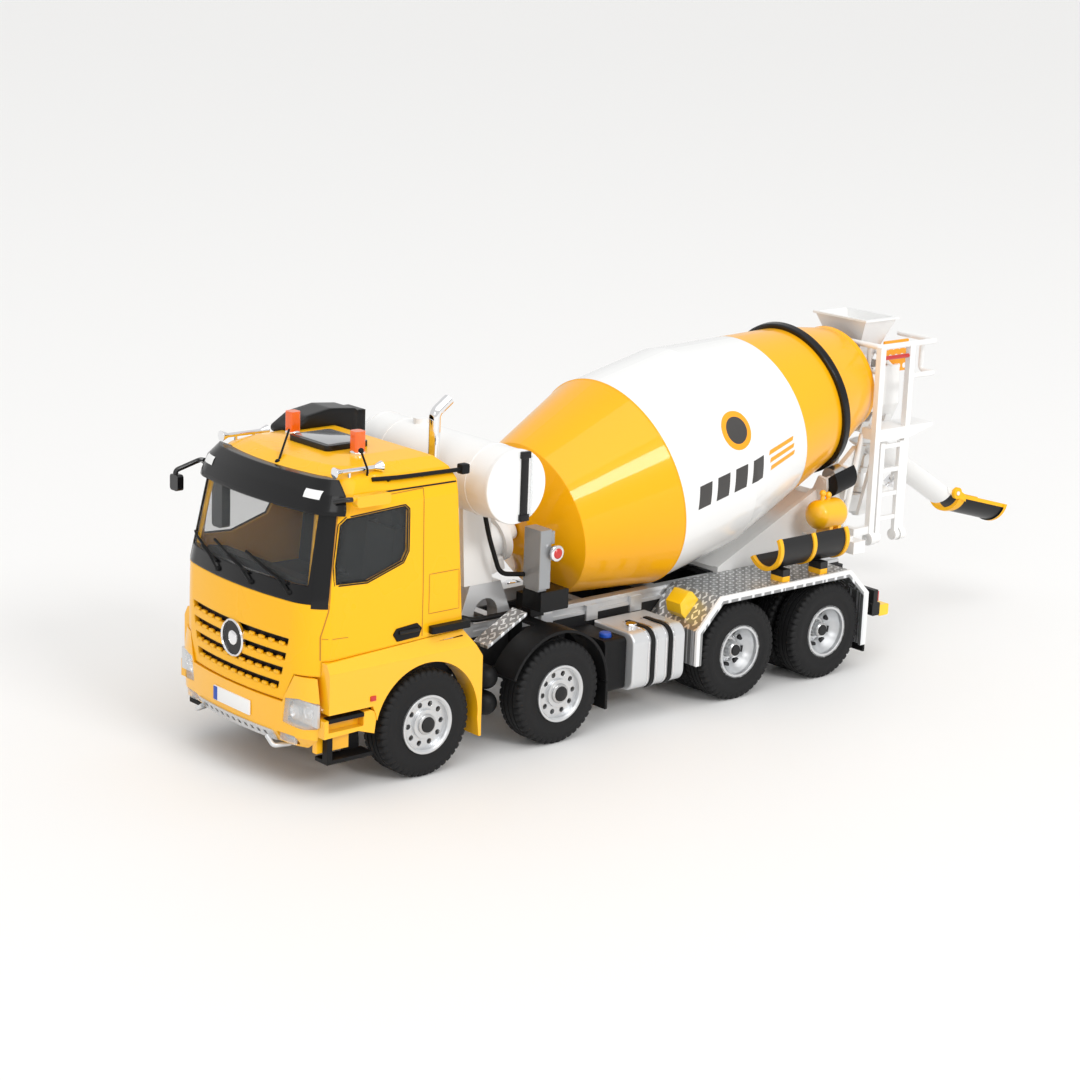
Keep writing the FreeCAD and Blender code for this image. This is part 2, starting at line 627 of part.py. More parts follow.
def build_hopper():
    x, top = hopper_x, hopper_top_z
    low = top - 9.0
    outer = loft_of((x - 3.2, x + 2.6, 3.6, low), (x - 5.3, x + 5.3, 7.9, top))
    inner = loft_of((x - 2.6, x + 2.0, 3.0, low - 0.01), (x - 4.7, x + 4.7, 7.3, top + 0.01))
    lip = box(x - 5.6, x + 5.6, -8.2, 8.2, top - 0.5, top).cut(box(x - 4.75, x + 4.75, -7.35, 7.35, top - 1, top + 1))
    # the spout turns forward and reaches into the mouth of the drum
    spout = prism_y([(x - 3.2, low), (x + 2.6, low), (x + 8.0, low - 3.5), (x + 6.6, low - 6.5), (x - 1.2, low - 3.4)],
                    -3.6, 3.6)
    hollow = prism_y([(x - 2.6, low + 0.01), (x + 2.0, low + 0.01), (x + 7.9, low - 3.9), (x + 8.4, low - 5.0),
                      (x + 7.2, low - 7.2), (x - 0.9, low - 2.9)], -3.0, 3.0)
    legs = []
    for sign in (1, -1):
        legs.append(rod((x - 3.0, sign * 4.0, low + 1.0), (hood_x - 6.5, sign * 7.25, hood_top_z - 0.4), 0.6))
    body = fuse([outer.cut(inner), lip, spout.cut(hollow)])
    save("loading_hopper", fuse([body] + legs).cut(hood_body(0.0)))


# ------------------------------------------------------------- access platform
platform_y = 14.0
post_front_x = hopper_x + 6.3
post_rear_x = post_front_x - 9.9
deck_top_z = hopper_top_z - 23.9
platform_rear_x = post_front_x - 18.6
rail_top_z = deck_top_z + 18.8
ladder_pin_z = 26.4
post_half = 0.85


def post(x, z0, z1):
    return box(x - post_half, x + post_half, platform_y - 0.7, platform_y + 0.7, z0, z1)


def build_platform():
    inner_y = 8.2
    outer_y = platform_y + 0.7
    # the inner front corner is cut away to clear the drum
    deck = prism_z([(platform_rear_x, inner_y), (post_front_x - 4.0, inner_y), (post_front_x - 2.0, 10.4),
                    (post_front_x + 0.7, 10.4), (post_front_x + 0.7, outer_y), (platform_rear_x, outer_y)],
                   deck_top_z - 0.8, deck_top_z)
    lip_outline = [(platform_rear_x, deck_top_z), (post_front_x + 0.7, deck_top_z), (post_front_x + 0.7, deck_top_z - 2.8),
                   (post_rear_x - 0.9, deck_top_z - 2.8), (platform_rear_x, deck_top_z - 0.9)]
    lip = prism_y(lip_outline, outer_y - 0.7, outer_y)
    front_lip = box(post_front_x, post_front_x + 0.7, 10.4, outer_y, deck_top_z - 2.4, deck_top_z)
    pieces = [deck, lip, front_lip]
    pieces += [post(post_front_x, ladder_pin_z, rail_top_z), post(post_rear_x, deck_top_z - 1, rail_top_z)]
    pieces.append(bent_rod([(post_front_x, 4.2, rail_top_z), (post_front_x, platform_y, rail_top_z),
                            (platform_rear_x, platform_y, rail_top_z), (platform_rear_x, 2.5, rail_top_z)], 0.65, 1.2))
    # handrails: one beside the mouth of the drum, one looped around the rear of the platform
    x, z = post_front_x - 0.7, rail_top_z - 6.0
    pieces.append(bent_rod([(x, 9.8, rail_top_z), (x, 9.8, z), (x, platform_y, z)], 0.5, 1.1))
    x, z = platform_rear_x, rail_top_z - 7.4
    pieces.append(bent_rod([(x, 9.8, rail_top_z), (x, 9.8, z), (x, platform_y, z), (post_rear_x, platform_y, z)],
                           0.6, 1.1))
    rear_low = post(post_rear_x, ladder_pin_z, deck_top_z - 0.5)
    pieces.append(rear_low)
    for x in (post_front_x, post_rear_x):
        eye = rod((x - post_half, platform_y + 0.3, ladder_pin_z), (x + post_half, platform_y + 0.3, ladder_pin_z), 1.5)
        pieces.append(eye)
    stay = box(frame_rear_x - 0.5, frame_rear_x + 1.2, rail_y, platform_y, 27.6, 29.4)
    foot = box(post_front_x - 0.6, frame_rear_x + 1.2, platform_y - 0.7, platform_y + 0.5, 27.6, 29.4)
    brace = rod((post_front_x + 0.3, 10.2, deck_top_z - 1.6), (frame_rear_x + 0.4, 10.2, 28.4), 0.65)
    pieces += [stay, foot, brace]
    body = fuse(pieces)
    hinge = rod((post_rear_x - 3, ladder_hinge_y, ladder_pin_z), (post_front_x + 3, ladder_hinge_y, ladder_pin_z),
                pin_radius + pin_clearance)
    save("access_platform", body.cut(hinge))


ladder_hinge_y = platform_y + 0.3
ladder_rails_x = (post_front_x - post_half - ear_gap - 0.7, post_rear_x + post_half + ear_gap + 0.7)
ladder_height = 22.0


def build_folding_ladder():
    # stored upright between the lower posts; it swings out and down about the pins at its foot
    pieces = []
    y0, y1 = ladder_hinge_y - 0.35, ladder_hinge_y + 0.65
    for x in ladder_rails_x:
        pieces.append(box(x - 0.7, x + 0.7, y0, y1, ladder_pin_z, ladder_pin_z + ladder_height))
        pieces.append(rod((x - 0.7, ladder_hinge_y, ladder_pin_z), (x + 0.7, ladder_hinge_y, ladder_pin_z), 1.3))
    for step in range(4):
        z = ladder_pin_z + 4.4 + 5.6 * step
        pieces.append(box(ladder_rails_x[1], ladder_rails_x[0], y0 + 0.1, y1 - 0.1, z - 0.5, z + 0.5))
    pins = [rod((ladder_rails_x[0] - 0.5, ladder_hinge_y, ladder_pin_z),
                (post_front_x + post_half - 0.2, ladder_hinge_y, ladder_pin_z), pin_radius),
            rod((ladder_rails_x[1] + 0.5, ladder_hinge_y, ladder_pin_z),
                (post_rear_x - post_half + 0.2, ladder_hinge_y, ladder_pin_z), pin_radius)]
    save("folding_ladder", fuse(pieces + pins))


# ----------------------------------------------------------------------- chute
tilt_pin_x = column_x - 1.0
tilt_pin_z = column_z[1] + 1.0
lift_foot_x = column_x - 4.2
lift_foot_z = column_z[0] + 1.3
chute_head_z = hood_bottom_z - 1.5
slope = math.radians(chute_slope)
chute_dir = V(-math.cos(slope), 0, -math.sin(slope))
chute_up = V(-math.sin(slope), 0, math.cos(slope))
chute_axis_start = V(tilt_pin_x, 0, tilt_pin_z) + chute_up * (chute_radius + 1.5)
chute_end = chute_axis_start + chute_dir * chute_length
fold_pin = chute_end + chute_dir * 1.0
lift_eye = chute_axis_start + chute_dir * 13.0 - chute_up * (chute_radius + 1.1)


def trough(start, direction, up, length, radius, wall):
    # half pipe that opens upwards; start is the middle of its rim
    outer = Part.makeCylinder(radius, length, start, direction)
    inner = Part.makeCylinder(radius - wall, length + 2, start - direction, direction)
    side = direction.cross(up)
    low = Part.makeBox(length, 2 * radius + 2, radius + 1)
    low.Placement = FreeCAD.Placement(start, FreeCAD.Rotation(direction, side * -1, up, "XYZ"))
    low = low.translated(side * (radius + 1) - up * (radius + 1))
    return outer.cut(inner).common(low)


def build_chute_swivel():
    x = column_x
    column = rod((x, 0, column_z[0]), (x, 0, column_z[1] - 1.2), column_radius)
    collars = [rod((x, 0, bearing_z[1] + side_clearance), (x, 0, bearing_z[1] + 1.2), 1.9),
               rod((x, 0, bearing_z[0] - 1.2), (x, 0, bearing_z[0] - side_clearance), 1.9)]
    top = box(tilt_pin_x - 1.3, x + 1.5, -1.9, 1.9, column_z[1] - 2.0, column_z[1] - 0.9)
    pieces = [column, top] + collars
    for y in (ear_gap / 2 + ear / 2, -ear_gap / 2 - ear / 2 - ear):
        pieces.append(box(tilt_pin_x - 1.1, tilt_pin_x + 1.1, y, y + ear, column_z[1] - 1.5, tilt_pin_z))
        pieces.append(rod((tilt_pin_x, y, tilt_pin_z), (tilt_pin_x, y + ear, tilt_pin_z), 1.1))
        pieces.append(box(lift_foot_x, x, y, y + ear, bearing_z[0] - 1.2, bearing_z[0] - side_clearance))
        pieces.append(rod((lift_foot_x, y, lift_foot_z), (lift_foot_x, y + ear, lift_foot_z), 1.0))
    reach = ear_gap / 2 + ear * 1.5
    pieces.append(rod((tilt_pin_x, -reach, tilt_pin_z), (tilt_pin_x, reach, tilt_pin_z), pin_radius))
    pieces.append(rod((lift_foot_x, -reach, lift_foot_z), (lift_foot_x, reach, lift_foot_z), pin_radius))
    save("chute_swivel", fuse(pieces))


def build_main_chute():
    start = chute_axis_start - chute_dir * 4.5
    pipe = trough(start, chute_dir, chute_up, chute_length + 4.5, chute_radius, chute_wall)
    pipe = pipe.cut(box(start.x - 30, start.x + 30, -20, 20, chute_head_z, chute_head_z + 30))
    thin = ear
    pivot = V(tilt_pin_x, 0, tilt_pin_z)
    lug_top = chute_axis_start - chute_up * (chute_radius - 0.2)
    lug = prism_y([(pivot.x - 1.0, pivot.z), (pivot.x + 1.0, pivot.z), (lug_top.x + 1.8, lug_top.z + 1.0),
                   (lug_top.x - 1.8, lug_top.z - 1.0)], -thin / 2, thin / 2)
    boss = rod((pivot.x, -thin / 2, pivot.z), (pivot.x, thin / 2, pivot.z), 1.0)
    hole = rod((pivot.x, -2, pivot.z), (pivot.x, 2, pivot.z), pin_radius + pin_clearance)
    eye_top = lift_eye + chute_up * 1.4
    eye_lug = prism_y([(lift_eye.x - 0.9, lift_eye.z), (lift_eye.x + 0.9, lift_eye.z), (eye_top.x + 1.2, eye_top.z + 0.7),
                       (eye_top.x - 1.2, eye_top.z - 0.7)], -thin / 2, thin / 2)
    eye_boss = rod((lift_eye.x, -thin / 2, lift_eye.z), (lift_eye.x, thin / 2, lift_eye.z), 1.0)
    eye_hole = rod((lift_eye.x, -2, lift_eye.z), (lift_eye.x, 2, lift_eye.z), pin_radius + lift_play)
    pieces = [pipe, lug, boss, eye_lug, eye_boss]
    for sign in (1, -1):
        y0, y1 = sorted((sign * (chute_radius - chute_wall), sign * (chute_radius + 0.15)))
        base = chute_end - chute_dir * 2.5
        arm = prism_y([(base.x, base.z), (fold_pin.x, fold_pin.z + 0.7), (fold_pin.x, fold_pin.z - 0.7),
                       (base.x - 0.6, base.z - 1.6)], y0, y1)
        pieces += [arm, rod((fold_pin.x, y0, fold_pin.z), (fold_pin.x, y1, fold_pin.z), 0.9)]
        pieces.append(rod((fold_pin.x, y0, fold_pin.z), (fold_pin.x, sign * (extension_radius + 0.45), fold_pin.z),
                          pin_radius))
    save("main_chute", cut(fuse(pieces), [hole, eye_hole]))


lift_play = 0.3            # the open pivot between the lift rod and the chute


def build_extension():
    down = math.radians(extension_slope)
    direction = V(-math.cos(down), 0, -math.sin(down))
    up = V(-math.sin(down), 0, math.cos(down))
    start = fold_pin + direction * 1.2
    pipe = trough(start, direction, up, extension_length, extension_radius, chute_wall)
    pieces = [pipe]
    hoop_outer = extension_radius + 0.3
    for place in (0.0, extension_length - 1.0):
        hoop = trough(start + direction * place, direction, up, 1.0, hoop_outer, 0.5)
        pieces.append(hoop)
    for sign in (1, -1):
        y0, y1 = sorted((sign * (extension_radius - chute_wall), sign * (extension_radius + 0.3)))
        tip = start + direction * 2.0
        arm = prism_y([(fold_pin.x, fold_pin.z + 1.1), (fold_pin.x, fold_pin.z - 1.1), (tip.x, tip.z - 1.6),
                       (tip.x, tip.z)], y0, y1)
        pieces += [arm, rod((fold_pin.x, y0, fold_pin.z), (fold_pin.x, y1, fold_pin.z), 1.4)]
    hole = rod((fold_pin.x, -10, fold_pin.z), (fold_pin.x, 10, fold_pin.z), pin_radius + pin_clearance)
    save("chute_extension", fuse(pieces).cut(hole))


def build_lift_cylinder():
    foot = V(lift_foot_x, 0, lift_foot_z)
    direction = (lift_eye - foot).normalize()
    distance = foot.distanceToPoint(lift_eye)
    thin = ear
    tube_start = foot + direction * 1.5
    tube_length = distance * 0.52
    tube = Part.makeCylinder(barrel_radius, tube_length, tube_start, direction)
    bore_radius = rod_radius + run_clearance
    bore = Part.makeCylinder(bore_radius, tube_length, tube_start + direction * 0.8, direction)
    eye = rod((foot.x, -thin / 2, foot.z), (foot.x, thin / 2, foot.z), 1.0)
    neck = Part.makeCylinder(thin * 0.42, 2.0, foot + direction * 0.3, direction)
    hole = rod((foot.x, -2, foot.z), (foot.x, 2, foot.z), pin_radius + pin_clearance)
    save("lift_barrel", cut(fuse([tube, eye, neck]), [bore, hole]))
    inside = tube_start + direction * (0.8 + lift_stroke_spare)
    bar = Part.makeCylinder(rod_radius, distance - 1.5 - 0.8 - lift_stroke_spare - 1.6, inside, direction)
    fork_base = lift_eye - direction * 2.0
    plate = Part.makeBox(0.8, 2 * (ear_gap / 2 + ear * 1.5), 1.6)
    side = V(0, 1, 0)
    turn = FreeCAD.Rotation(direction, side, direction.cross(side), "XYZ")
    plate.Placement = FreeCAD.Placement(fork_base - side * (ear_gap / 2 + ear * 1.5) - direction.cross(side) * 0.8, turn)
    pieces = [bar, plate]
    for y in (ear_gap / 2 + ear / 2, -ear_gap / 2 - ear / 2 - ear):
        cheek = Part.makeBox(2.0, ear, 1.6)
        cheek.Placement = FreeCAD.Placement(V(fork_base.x, y, fork_base.z) - direction.cross(side) * 0.8, turn)
        pieces += [cheek, rod((lift_eye.x, y, lift_eye.z), (lift_eye.x, y + ear, lift_eye.z), 0.8)]
    reach = ear_gap / 2 + ear * 1.5
    pieces.append(rod((lift_eye.x, -reach, lift_eye.z), (lift_eye.x, reach, lift_eye.z), pin_radius))
    save("lift_rod", fuse(pieces))


lift_stroke_spare = 2.2    # room behind the rod inside the barrel at rest


# ------------------------------------------------------- tanks and side fittings
water_tank_x = pedestal_x[1] + 5.0 - 10.1
water_tank_z = 54.2
water_tank_radius = 7.35
water_tank_half = 21.6


def build_water_tank():
    x, z, r = water_tank_x, water_tank_z, water_tank_radius
    half = water_tank_half
    shell = rod((x, -half, z), (x, half, z), r)
    rims = [ring((x, y - 0.5, z), (x, y + 0.5, z), r + 0.15, r - 0.6) for y in (half - 0.5, -half + 0.5)]
    cap = rod((x, -9, z + r - 0.6), (x, -9, z + r + 1.0), 1.6)
    saddle_z = gearbox_bottom_z()
    feet = []
    for y in (-8.9, 8.9):
        feet.append(prism_y([(x - 3.6, z - 4.6), (x + 3.6, z - 4.6), (x + 2.6, saddle_z), (x - 4.6, saddle_z)],
                            y - 0.6, y + 0.6))
    body = fuse([shell, cap] + rims + feet)
    save("water_tank", body.makeFillet(0.35, [e for e in body.Edges if e.Curve.TypeId == "Part::GeomCircle"
                                              and abs(e.Curve.Radius - (r + 0.15)) < 1e-6
                                              and abs(abs(e.CenterOfMass.y) - half) < 0.01]))


control_x = axle_x[1] + 1.2


def build_control_unit():
    x = control_x
    z0 = axle_z + arch_radius + control_rise
    cooler = round_edges(box(x - 3.0, x, 13.0, 18.2, z0 + 5.0, z0 + 17.2), 0.3, (0, 0, 1))
    fins = [box(x - 3.4, x - 2.9, 13.6, 17.6, z, z + 0.7) for z in (z0 + 6.2, z0 + 8.4, z0 + 10.6, z0 + 12.8)]
    valve = box(x - 4.2, x - 3.0, 14.2, 17.6, z0 + 14.0, z0 + 16.6)
    knob = rod((x - 3.6, 17.4, z0 + 12.4), (x - 3.6, 19.4, z0 + 12.4), 1.05)
    low_box = round_edges(box(x - 8.2, x - 0.8, 12.4, 18.0, z0, z0 + 4.2), 0.3, (0, 1, 0))
    foot = box(x - 6.4, x - 2.8, rail_y - 1.5, 12.6, subframe_top, z0 + 2.0)
    neck = box(x - 2.6, x - 0.4, 13.4, 17.4, z0 + 3.8, z0 + 5.4)
    save("control_unit", fuse([cooler, valve, knob, low_box, foot, neck] + fins))


side_y = 24.0


def build_fuel_tank():
    x0, x1 = fuel_tank_rear_x, fuel_tank_front_x
    tank = box(x0, x1, rail_y + 1.9, side_y, 7.0, 19.6)
    long_edges = [e for e in tank.Edges if abs(abs(e.tangentAt(e.FirstParameter).x) - 1) < 1e-6
                  and e.CenterOfMass.y > side_y - 1]
    tank = tank.makeFillet(2.6, long_edges)
    ends = [e for e in tank.Edges if abs(e.CenterOfMass.x - x0) < 0.01 or abs(e.CenterOfMass.x - x1) < 0.01]
    tank = tank.makeFillet(0.5, ends)
    holds = [box(x - 1.0, x + 1.0, rail_y, rail_y + 2.2, 14.8, 18.8) for x in (x0 + 3, x1 - 3)]
    tank = fuse([tank] + holds)
    save("fuel_tank", [tank, mirrored(tank)])


def build_air_tanks():
    # air reservoirs between the first two axles, and the small additive tank ahead of the fuel tank
    pieces = []
    r = reservoir_radius
    mid = axle_x[1] + tyre_radius + reservoir_gap + r
    for z in (15.4, 10.0):
        tank = fuse([rod((mid, rail_y + 1.2, z), (mid, 18.6, z), r), ball((mid, 18.6, z), r),
                     rod((mid, rail_y, z), (mid, rail_y + 2, z), 1.2)])
        pieces.append(tank)
    link = box(mid - 1.0, mid + 1.0, rail_y, rail_y + 1.6, 9.6, 16.0)
    pieces = [fuse(pieces + [link])]
    x1 = axle_x[1] - arch_radius - 1.5
    x0 = fuel_tank_front_x + 0.3
    additive = round_edges(box(x0, x1, rail_y, 22.0, 7.4, 18.6), 1.0, (1, 0, 0))
    cap = rod(((x0 + x1) / 2, 19.0, 18.4), ((x0 + x1) / 2, 19.0, 19.4), 1.2)
    pieces.append(fuse([additive, cap]))
    save("air_tanks", both_sides(pieces))


plate_thick = 0.7


def build_rear_fenders():
    # tread-plate fender over both rear axles: one folded sheet with a lip along its outer edge
    x_front = fender_front_x
    x_rear = fender_rear_x
    high_front = x_front - 6.6
    high_rear = x_rear + 6.2
    path = [(x_front, 9.8), (x_front, deck_z - 6.5), (high_front, deck_z), (high_rear, deck_z),
            (x_rear, deck_z - 5.9), (x_rear, 5.8)]
    inner_path = offset_down(path, plate_thick)
    lip_path = offset_down(path, 1.5)
    sheet = prism_y(path + inner_path[::-1], rail_y + 0.15, lower_half_width + 0.3)
    lip = prism_y(path + lip_path[::-1], lower_half_width - 0.4, lower_half_width + 0.4)
    stays = [box(x - 0.8, x + 0.8, rail_y, rail_y + 5, deck_z - 2.2, deck_z - 0.5)
             for x in (high_front - 3, (high_front + high_rear) / 2, high_rear + 3)]
    # the sheet's inner edge is relieved where the belly of the drum passes close by
    relief = on_drum(drum_section([(0, 0), (0, dish_radius), (belly_start_station, belly_radius + drum_relief),
                                   (belly_end_station, belly_radius + drum_relief),
                                   (ring_station, ring_seat_radius + drum_relief), (ring_station, 0)]))
    save("rear_fenders", both_sides([fuse([sheet, lip] + stays).cut(relief)]))


def offset_down(path, distance):
    # the same path moved to the wheel side, with mitred corners
    result = []
    for i, point in enumerate(path):
        normals = []
        if i > 0:
            normals.append(unit_normal(path[i - 1], point))
        if i < len(path) - 1:
            normals.append(unit_normal(point, path[i + 1]))
        if len(normals) == 1:
            nx, nz = normals[0]
            scale = distance
        else:
            nx, nz = normals[0][0] + normals[1][0], normals[0][1] + normals[1][1]
            length = math.hypot(nx, nz)
            nx, nz = nx / length, nz / length
            scale = distance / (nx * normals[0][0] + nz * normals[0][1])
        result.append((point[0] + nx * scale, point[1] + nz * scale))
    return result


def unit_normal(a, b):
    dx, dz = b[0] - a[0], b[1] - a[1]
    length = math.hypot(dx, dz)
    return (-dz / length, dx / length)


def build_mudguards():
    # arches over the second axle, flaps behind the wheels and the black lower steps of the cab
    x = axle_x[1]
    r = arch_radius
    y0, y1 = tyre_face_y - tyre_width, tyre_face_y
    band = ring((x, y0, axle_z), (x, y1, axle_z), r + 0.6, r)
    keep = prism_y([(x - r - 2, axle_z), (x + r * 0.93, axle_z + 4.4), (x + r + 3, axle_z + 9), (x + r + 3, axle_z + r + 3),
                    (x - r - 2, axle_z + r + 3)], y0 - 1, y1 + 1)
    flap = box(x - r - 0.6, x - r, y0, y1, 5.0, axle_z + 0.01)
    inner = band.common(keep)
    bracket = box(x - 1.5, x + 1.5, rail_y, y0 + 0.2, axle_z + r, axle_z + r + 0.6)
    guard = fuse([inner, flap, bracket, box(x - 1.5, x + 1.5, rail_y, rail_y + 0.8, rail_z[1] - 3, axle_z + r + 0.6)])
    tail_flap = box(fender_rear_x - 0.6, fender_rear_x, y1 - 2 * dual_tyre_width - dual_gap, y1, 4.0, 12.0)
    step_rear = arch_radius - 0.3
    tread = box(step_rear, 22.9, 19.5, 23.4, 6.7, 7.5)
    step_side = box(21.7, 22.9, 21.9, 23.4, 7.4, 12.4)
    step_back = prism_y([(step_rear + 0.6, 6.8), (step_rear + 4.2, 6.8), (step_rear + 4.2, 12.6), (step_rear + 0.9, 12.6)],
                        18.8, 19.8)
    upper_tread = box(step_rear + 3.0, bumper_rear_x - 1.0, 22.6, lower_half_width, 15.3, 16.1)
    cab_step = round_edges(box(-10.4, -0.9, cab_half_width + 0.02, cab_half_width + 1.6, 28.6, 30.0), 0.5, (0, 0, 1))
    lower_step = fuse([tread, step_side, step_back]).cut(fender())
    save("mudguards_and_steps", both_sides([guard, tail_flap, lower_step, upper_tread, cab_step]))


def build_wheel_chocks():
    # two wedges clipped to the slope of the left fender and one carried behind the frame
    low = fender_front_x
    wedge = prism_y([(-2.6, 0), (2.6, 0), (2.6, 1.6), (1.4, 3.6), (-2.0, 3.6), (-2.6, 2.8)], -2.2, 2.2)
    wedge.rotate(V(0, 0, 0), V(0, 1, 0), math.degrees(math.atan2(6.5, 6.6)))
    pieces = []
    for y in (17.2, -17.2):
        pieces.append(moved(wedge, low - 3.3, y, deck_z - 3.25))
    pieces.append(round_edges(box(frame_rear_x - 4.6, frame_rear_x - 1.55, 17.6, 21.4, underrun_z[0] - 0.4,
                                  underrun_z[0] + 2.2), 0.4, (0, 1, 0)))
    save("wheel_chocks", pieces)


tray_y = 18.9
tray_z = deck_z + 6.83
tray_radius = 5.0
tray_length = 21.7


def build_spare_chutes():
    # extension trays carried on the rear fenders, open side up and inwards
    x0 = axle_x[3] + 15.5
    direction, up = V(-1, 0, 0), V(0, -math.sin(math.radians(34.8)), math.cos(math.radians(34.8)))
    centre = V(x0, tray_y, tray_z)
    pieces = [trough(centre, direction, up, tray_length, tray_radius - 0.3, 0.5)]
    for place in (0.0, tray_length / 2 - 0.5, tray_length - 1.0):
        pieces.append(trough(centre + direction * place, direction, up, 1.0, tray_radius, 0.85))
    for x in (x0 - 2.4, x0 - 14.2):
        pieces.append(box(x - 1.1, x + 1.1, 20.0, 23.6, deck_z, tray_z - tray_radius + 0.9))
    tray = fuse(pieces)
    save("spare_chutes", both_sides([tray]))


def build_pressure_tank():
    x, y, z = ring_x + 2.4, 15.6, 34.8
    radius, straight = 3.3, 5.2
    body = [rod((x - straight / 2, y, z), (x + straight / 2, y, z), radius)]
    for end in (-1, 1):
        dome = Part.makeSphere(radius)
        squash = FreeCAD.Matrix()
        squash.scale(V(0.72, 1, 1))
        dome = dome.transformGeometry(squash)
        body.append(moved(dome, x + end * straight / 2, y, z))
    knobs = []
    for kx, tall in ((x + 1.6, 1.5), (x - 0.2, 0.9)):
        knobs += [rod((kx, y, z + radius - 0.3), (kx, y, z + radius + tall), 0.5), ball((kx, y, z + radius + tall), 0.75)]
    feet = [box(fx - 0.5, fx + 0.5, y - 2.0, y + 2.0, 29.0, z - 1.5) for fx in (x - 2.4, x + 0.3)]
    shelf = box(x - 6.5, x + 0.8, rail_y, y + 2.6, 28.0, 29.2)
    case = box(x - 8.4, x - 4.6, y + 0.6, y + 4.6, 25.6, 28.4)
    save("pressure_tank", fuse(body + knobs + feet + [shelf, case]))


# ------------------------------------------------------------------------- cab
def cab_outline(front_x, half, rear_x, z):
    # plan of the cab at one height: flat sides, a bowed front and rounded front corners
    bow = 1.4
    corner_y = half * 0.69
    corner_x = front_x - bow
    side_x = front_x - 6.3
    middle = V(corner_x - 1.65, half * 0.875, z)
    a, b = V(rear_x, -half, z), V(side_x, -half, z)
    c, d = V(corner_x, -corner_y, z), V(corner_x, corner_y, z)
    e, f = V(side_x, half, z), V(rear_x, half, z)
    mirror_middle = V(middle.x, -middle.y, z)
    return Part.Wire([Part.makeLine(a, b), Part.Arc(b, mirror_middle, c).toShape(),
                      Part.Arc(c, V(front_x, 0, z), d).toShape(), Part.Arc(d, middle, e).toShape(),
                      Part.makeLine(e, f), Part.makeLine(f, a)])


def cab_sections():
    # height, front, half width, rear: from the grille's foot to the crown of the roof
    w, front, rear = cab_half_width, cab_front_x, cab_rear_x
    return [(18.2, front, w, rear), (27.0, front, w, rear + 0.1), (37.8, front - 0.2, w, rear + 0.8),
            (55.2, front - 4.2, w - 0.4, rear + 1.7), (58.0, front - 5.3, w - 0.9, rear + 1.8),
            (60.2, front - 7.3, w - 2.8, rear + 2.4), (61.7, front - 10.8, w - 6.2, rear + 3.6),
            (roof_z, front - 16.0, w - 11.2, rear + 5.5)]


def cab_body(inset):
    wires = []
    sections = cab_sections()
    for i, (z, front, half, rear) in enumerate(sections):
        level = z - inset if i == len(sections) - 1 else z - inset * 0.5 if i > 4 else z
        wires.append(cab_outline(front - inset, half - inset, rear + inset, level))
    return Part.makeLoft(wires, True, True)


roof_z = 62.4
glass_front = [(-19.2, 40.9), (19.2, 40.9), (18.4, 54.4), (-18.4, 54.4)]
black_front = [(24.7, 37.6), (21.3, 55.9), (40.0, 55.9), (40.0, 37.6)]
side_window = [(21.0, 41.4), (20.9, 45.0), (19.6, 52.4), (18.4, 53.7), (5.0, 54.4), (4.1, 53.6), (4.2, 45.6),
               (5.4, 43.6), (13.8, 41.0)]
grille_rows = [(29.65, 15.7), (26.7, 15.1), (23.75, 14.3), (20.8, 13.4)]
grille_slot = 1.5


def shrunk(outline, gap):
    # the outline pulled in towards its middle by about the gap
    cx = sum(p[0] for p in outline) / len(outline)
    cz = sum(p[1] for p in outline) / len(outline)
    result = []
    for x, z in outline:
        length = math.hypot(x - cx, z - cz)
        result.append((x - (x - cx) / length * gap * 1.4, z - (z - cz) / length * gap * 1.4))
    return result


def build_cab():
    outer = cab_body(0.0)
    inner = cab_body(cab_wall)
    floor_cut = box(-60, 60, -40, 40, 0, 18.2 + 1e-3)
    hollow = inner.fuse(moved(inner.common(box(-60, 60, -40, 40, 18, 20)), 0, 0, -1.5))
    skin = outer.cut(hollow)
    low = prism_y([(cab_rear_x - 3, 0), (23.4, 0), (23.4, 26.8), (cab_rear_x - 3, 28.2)], -40, 40)
    corner = prism_x([(14.9, 0), (14.9, 18.2), (17.4, 23.8), (40, 23.8), (40, 0)], 15, 60)
    windows = prism_y(side_window, -40, 40)
    nose = prism_y(black_front, -40, 40)
    slots = []
    for z, half in grille_rows:
        slots.append(prism_x([(-half, z - grille_slot / 2), (half, z - grille_slot / 2),
                              (half + 0.4, z + grille_slot / 2), (-half - 0.4, z + grille_slot / 2)], 20, 60))
    shell = cut(skin, [low, corner, mirrored(corner), windows, nose, floor_cut] + slots)
    save("cab_shell", shell.Solids)
    glass_zone = prism_x(glass_front, 10, 60)
    frame = outer.cut(cab_body(cab_wall)).common(prism_y(shrunk(black_front, 0.0), -40, 40))
    frame = frame.common(box(0, 60, -40, 40, 37.6 + fit_gap, 55.9 - fit_gap)).cut(glass_zone)
    save("windscreen_frame", frame)
    pane = cab_body(0.12).cut(cab_body(0.12 + glass_wall))
    screen = pane.common(prism_x(shrunk(glass_front, fit_gap), 10, 60)).common(prism_y(black_front, -40, 40))
    side = pane.common(prism_y(shrunk(side_window, fit_gap), 0, 40))
    save("cab_glass", screen.Solids + both_sides(side.Solids))


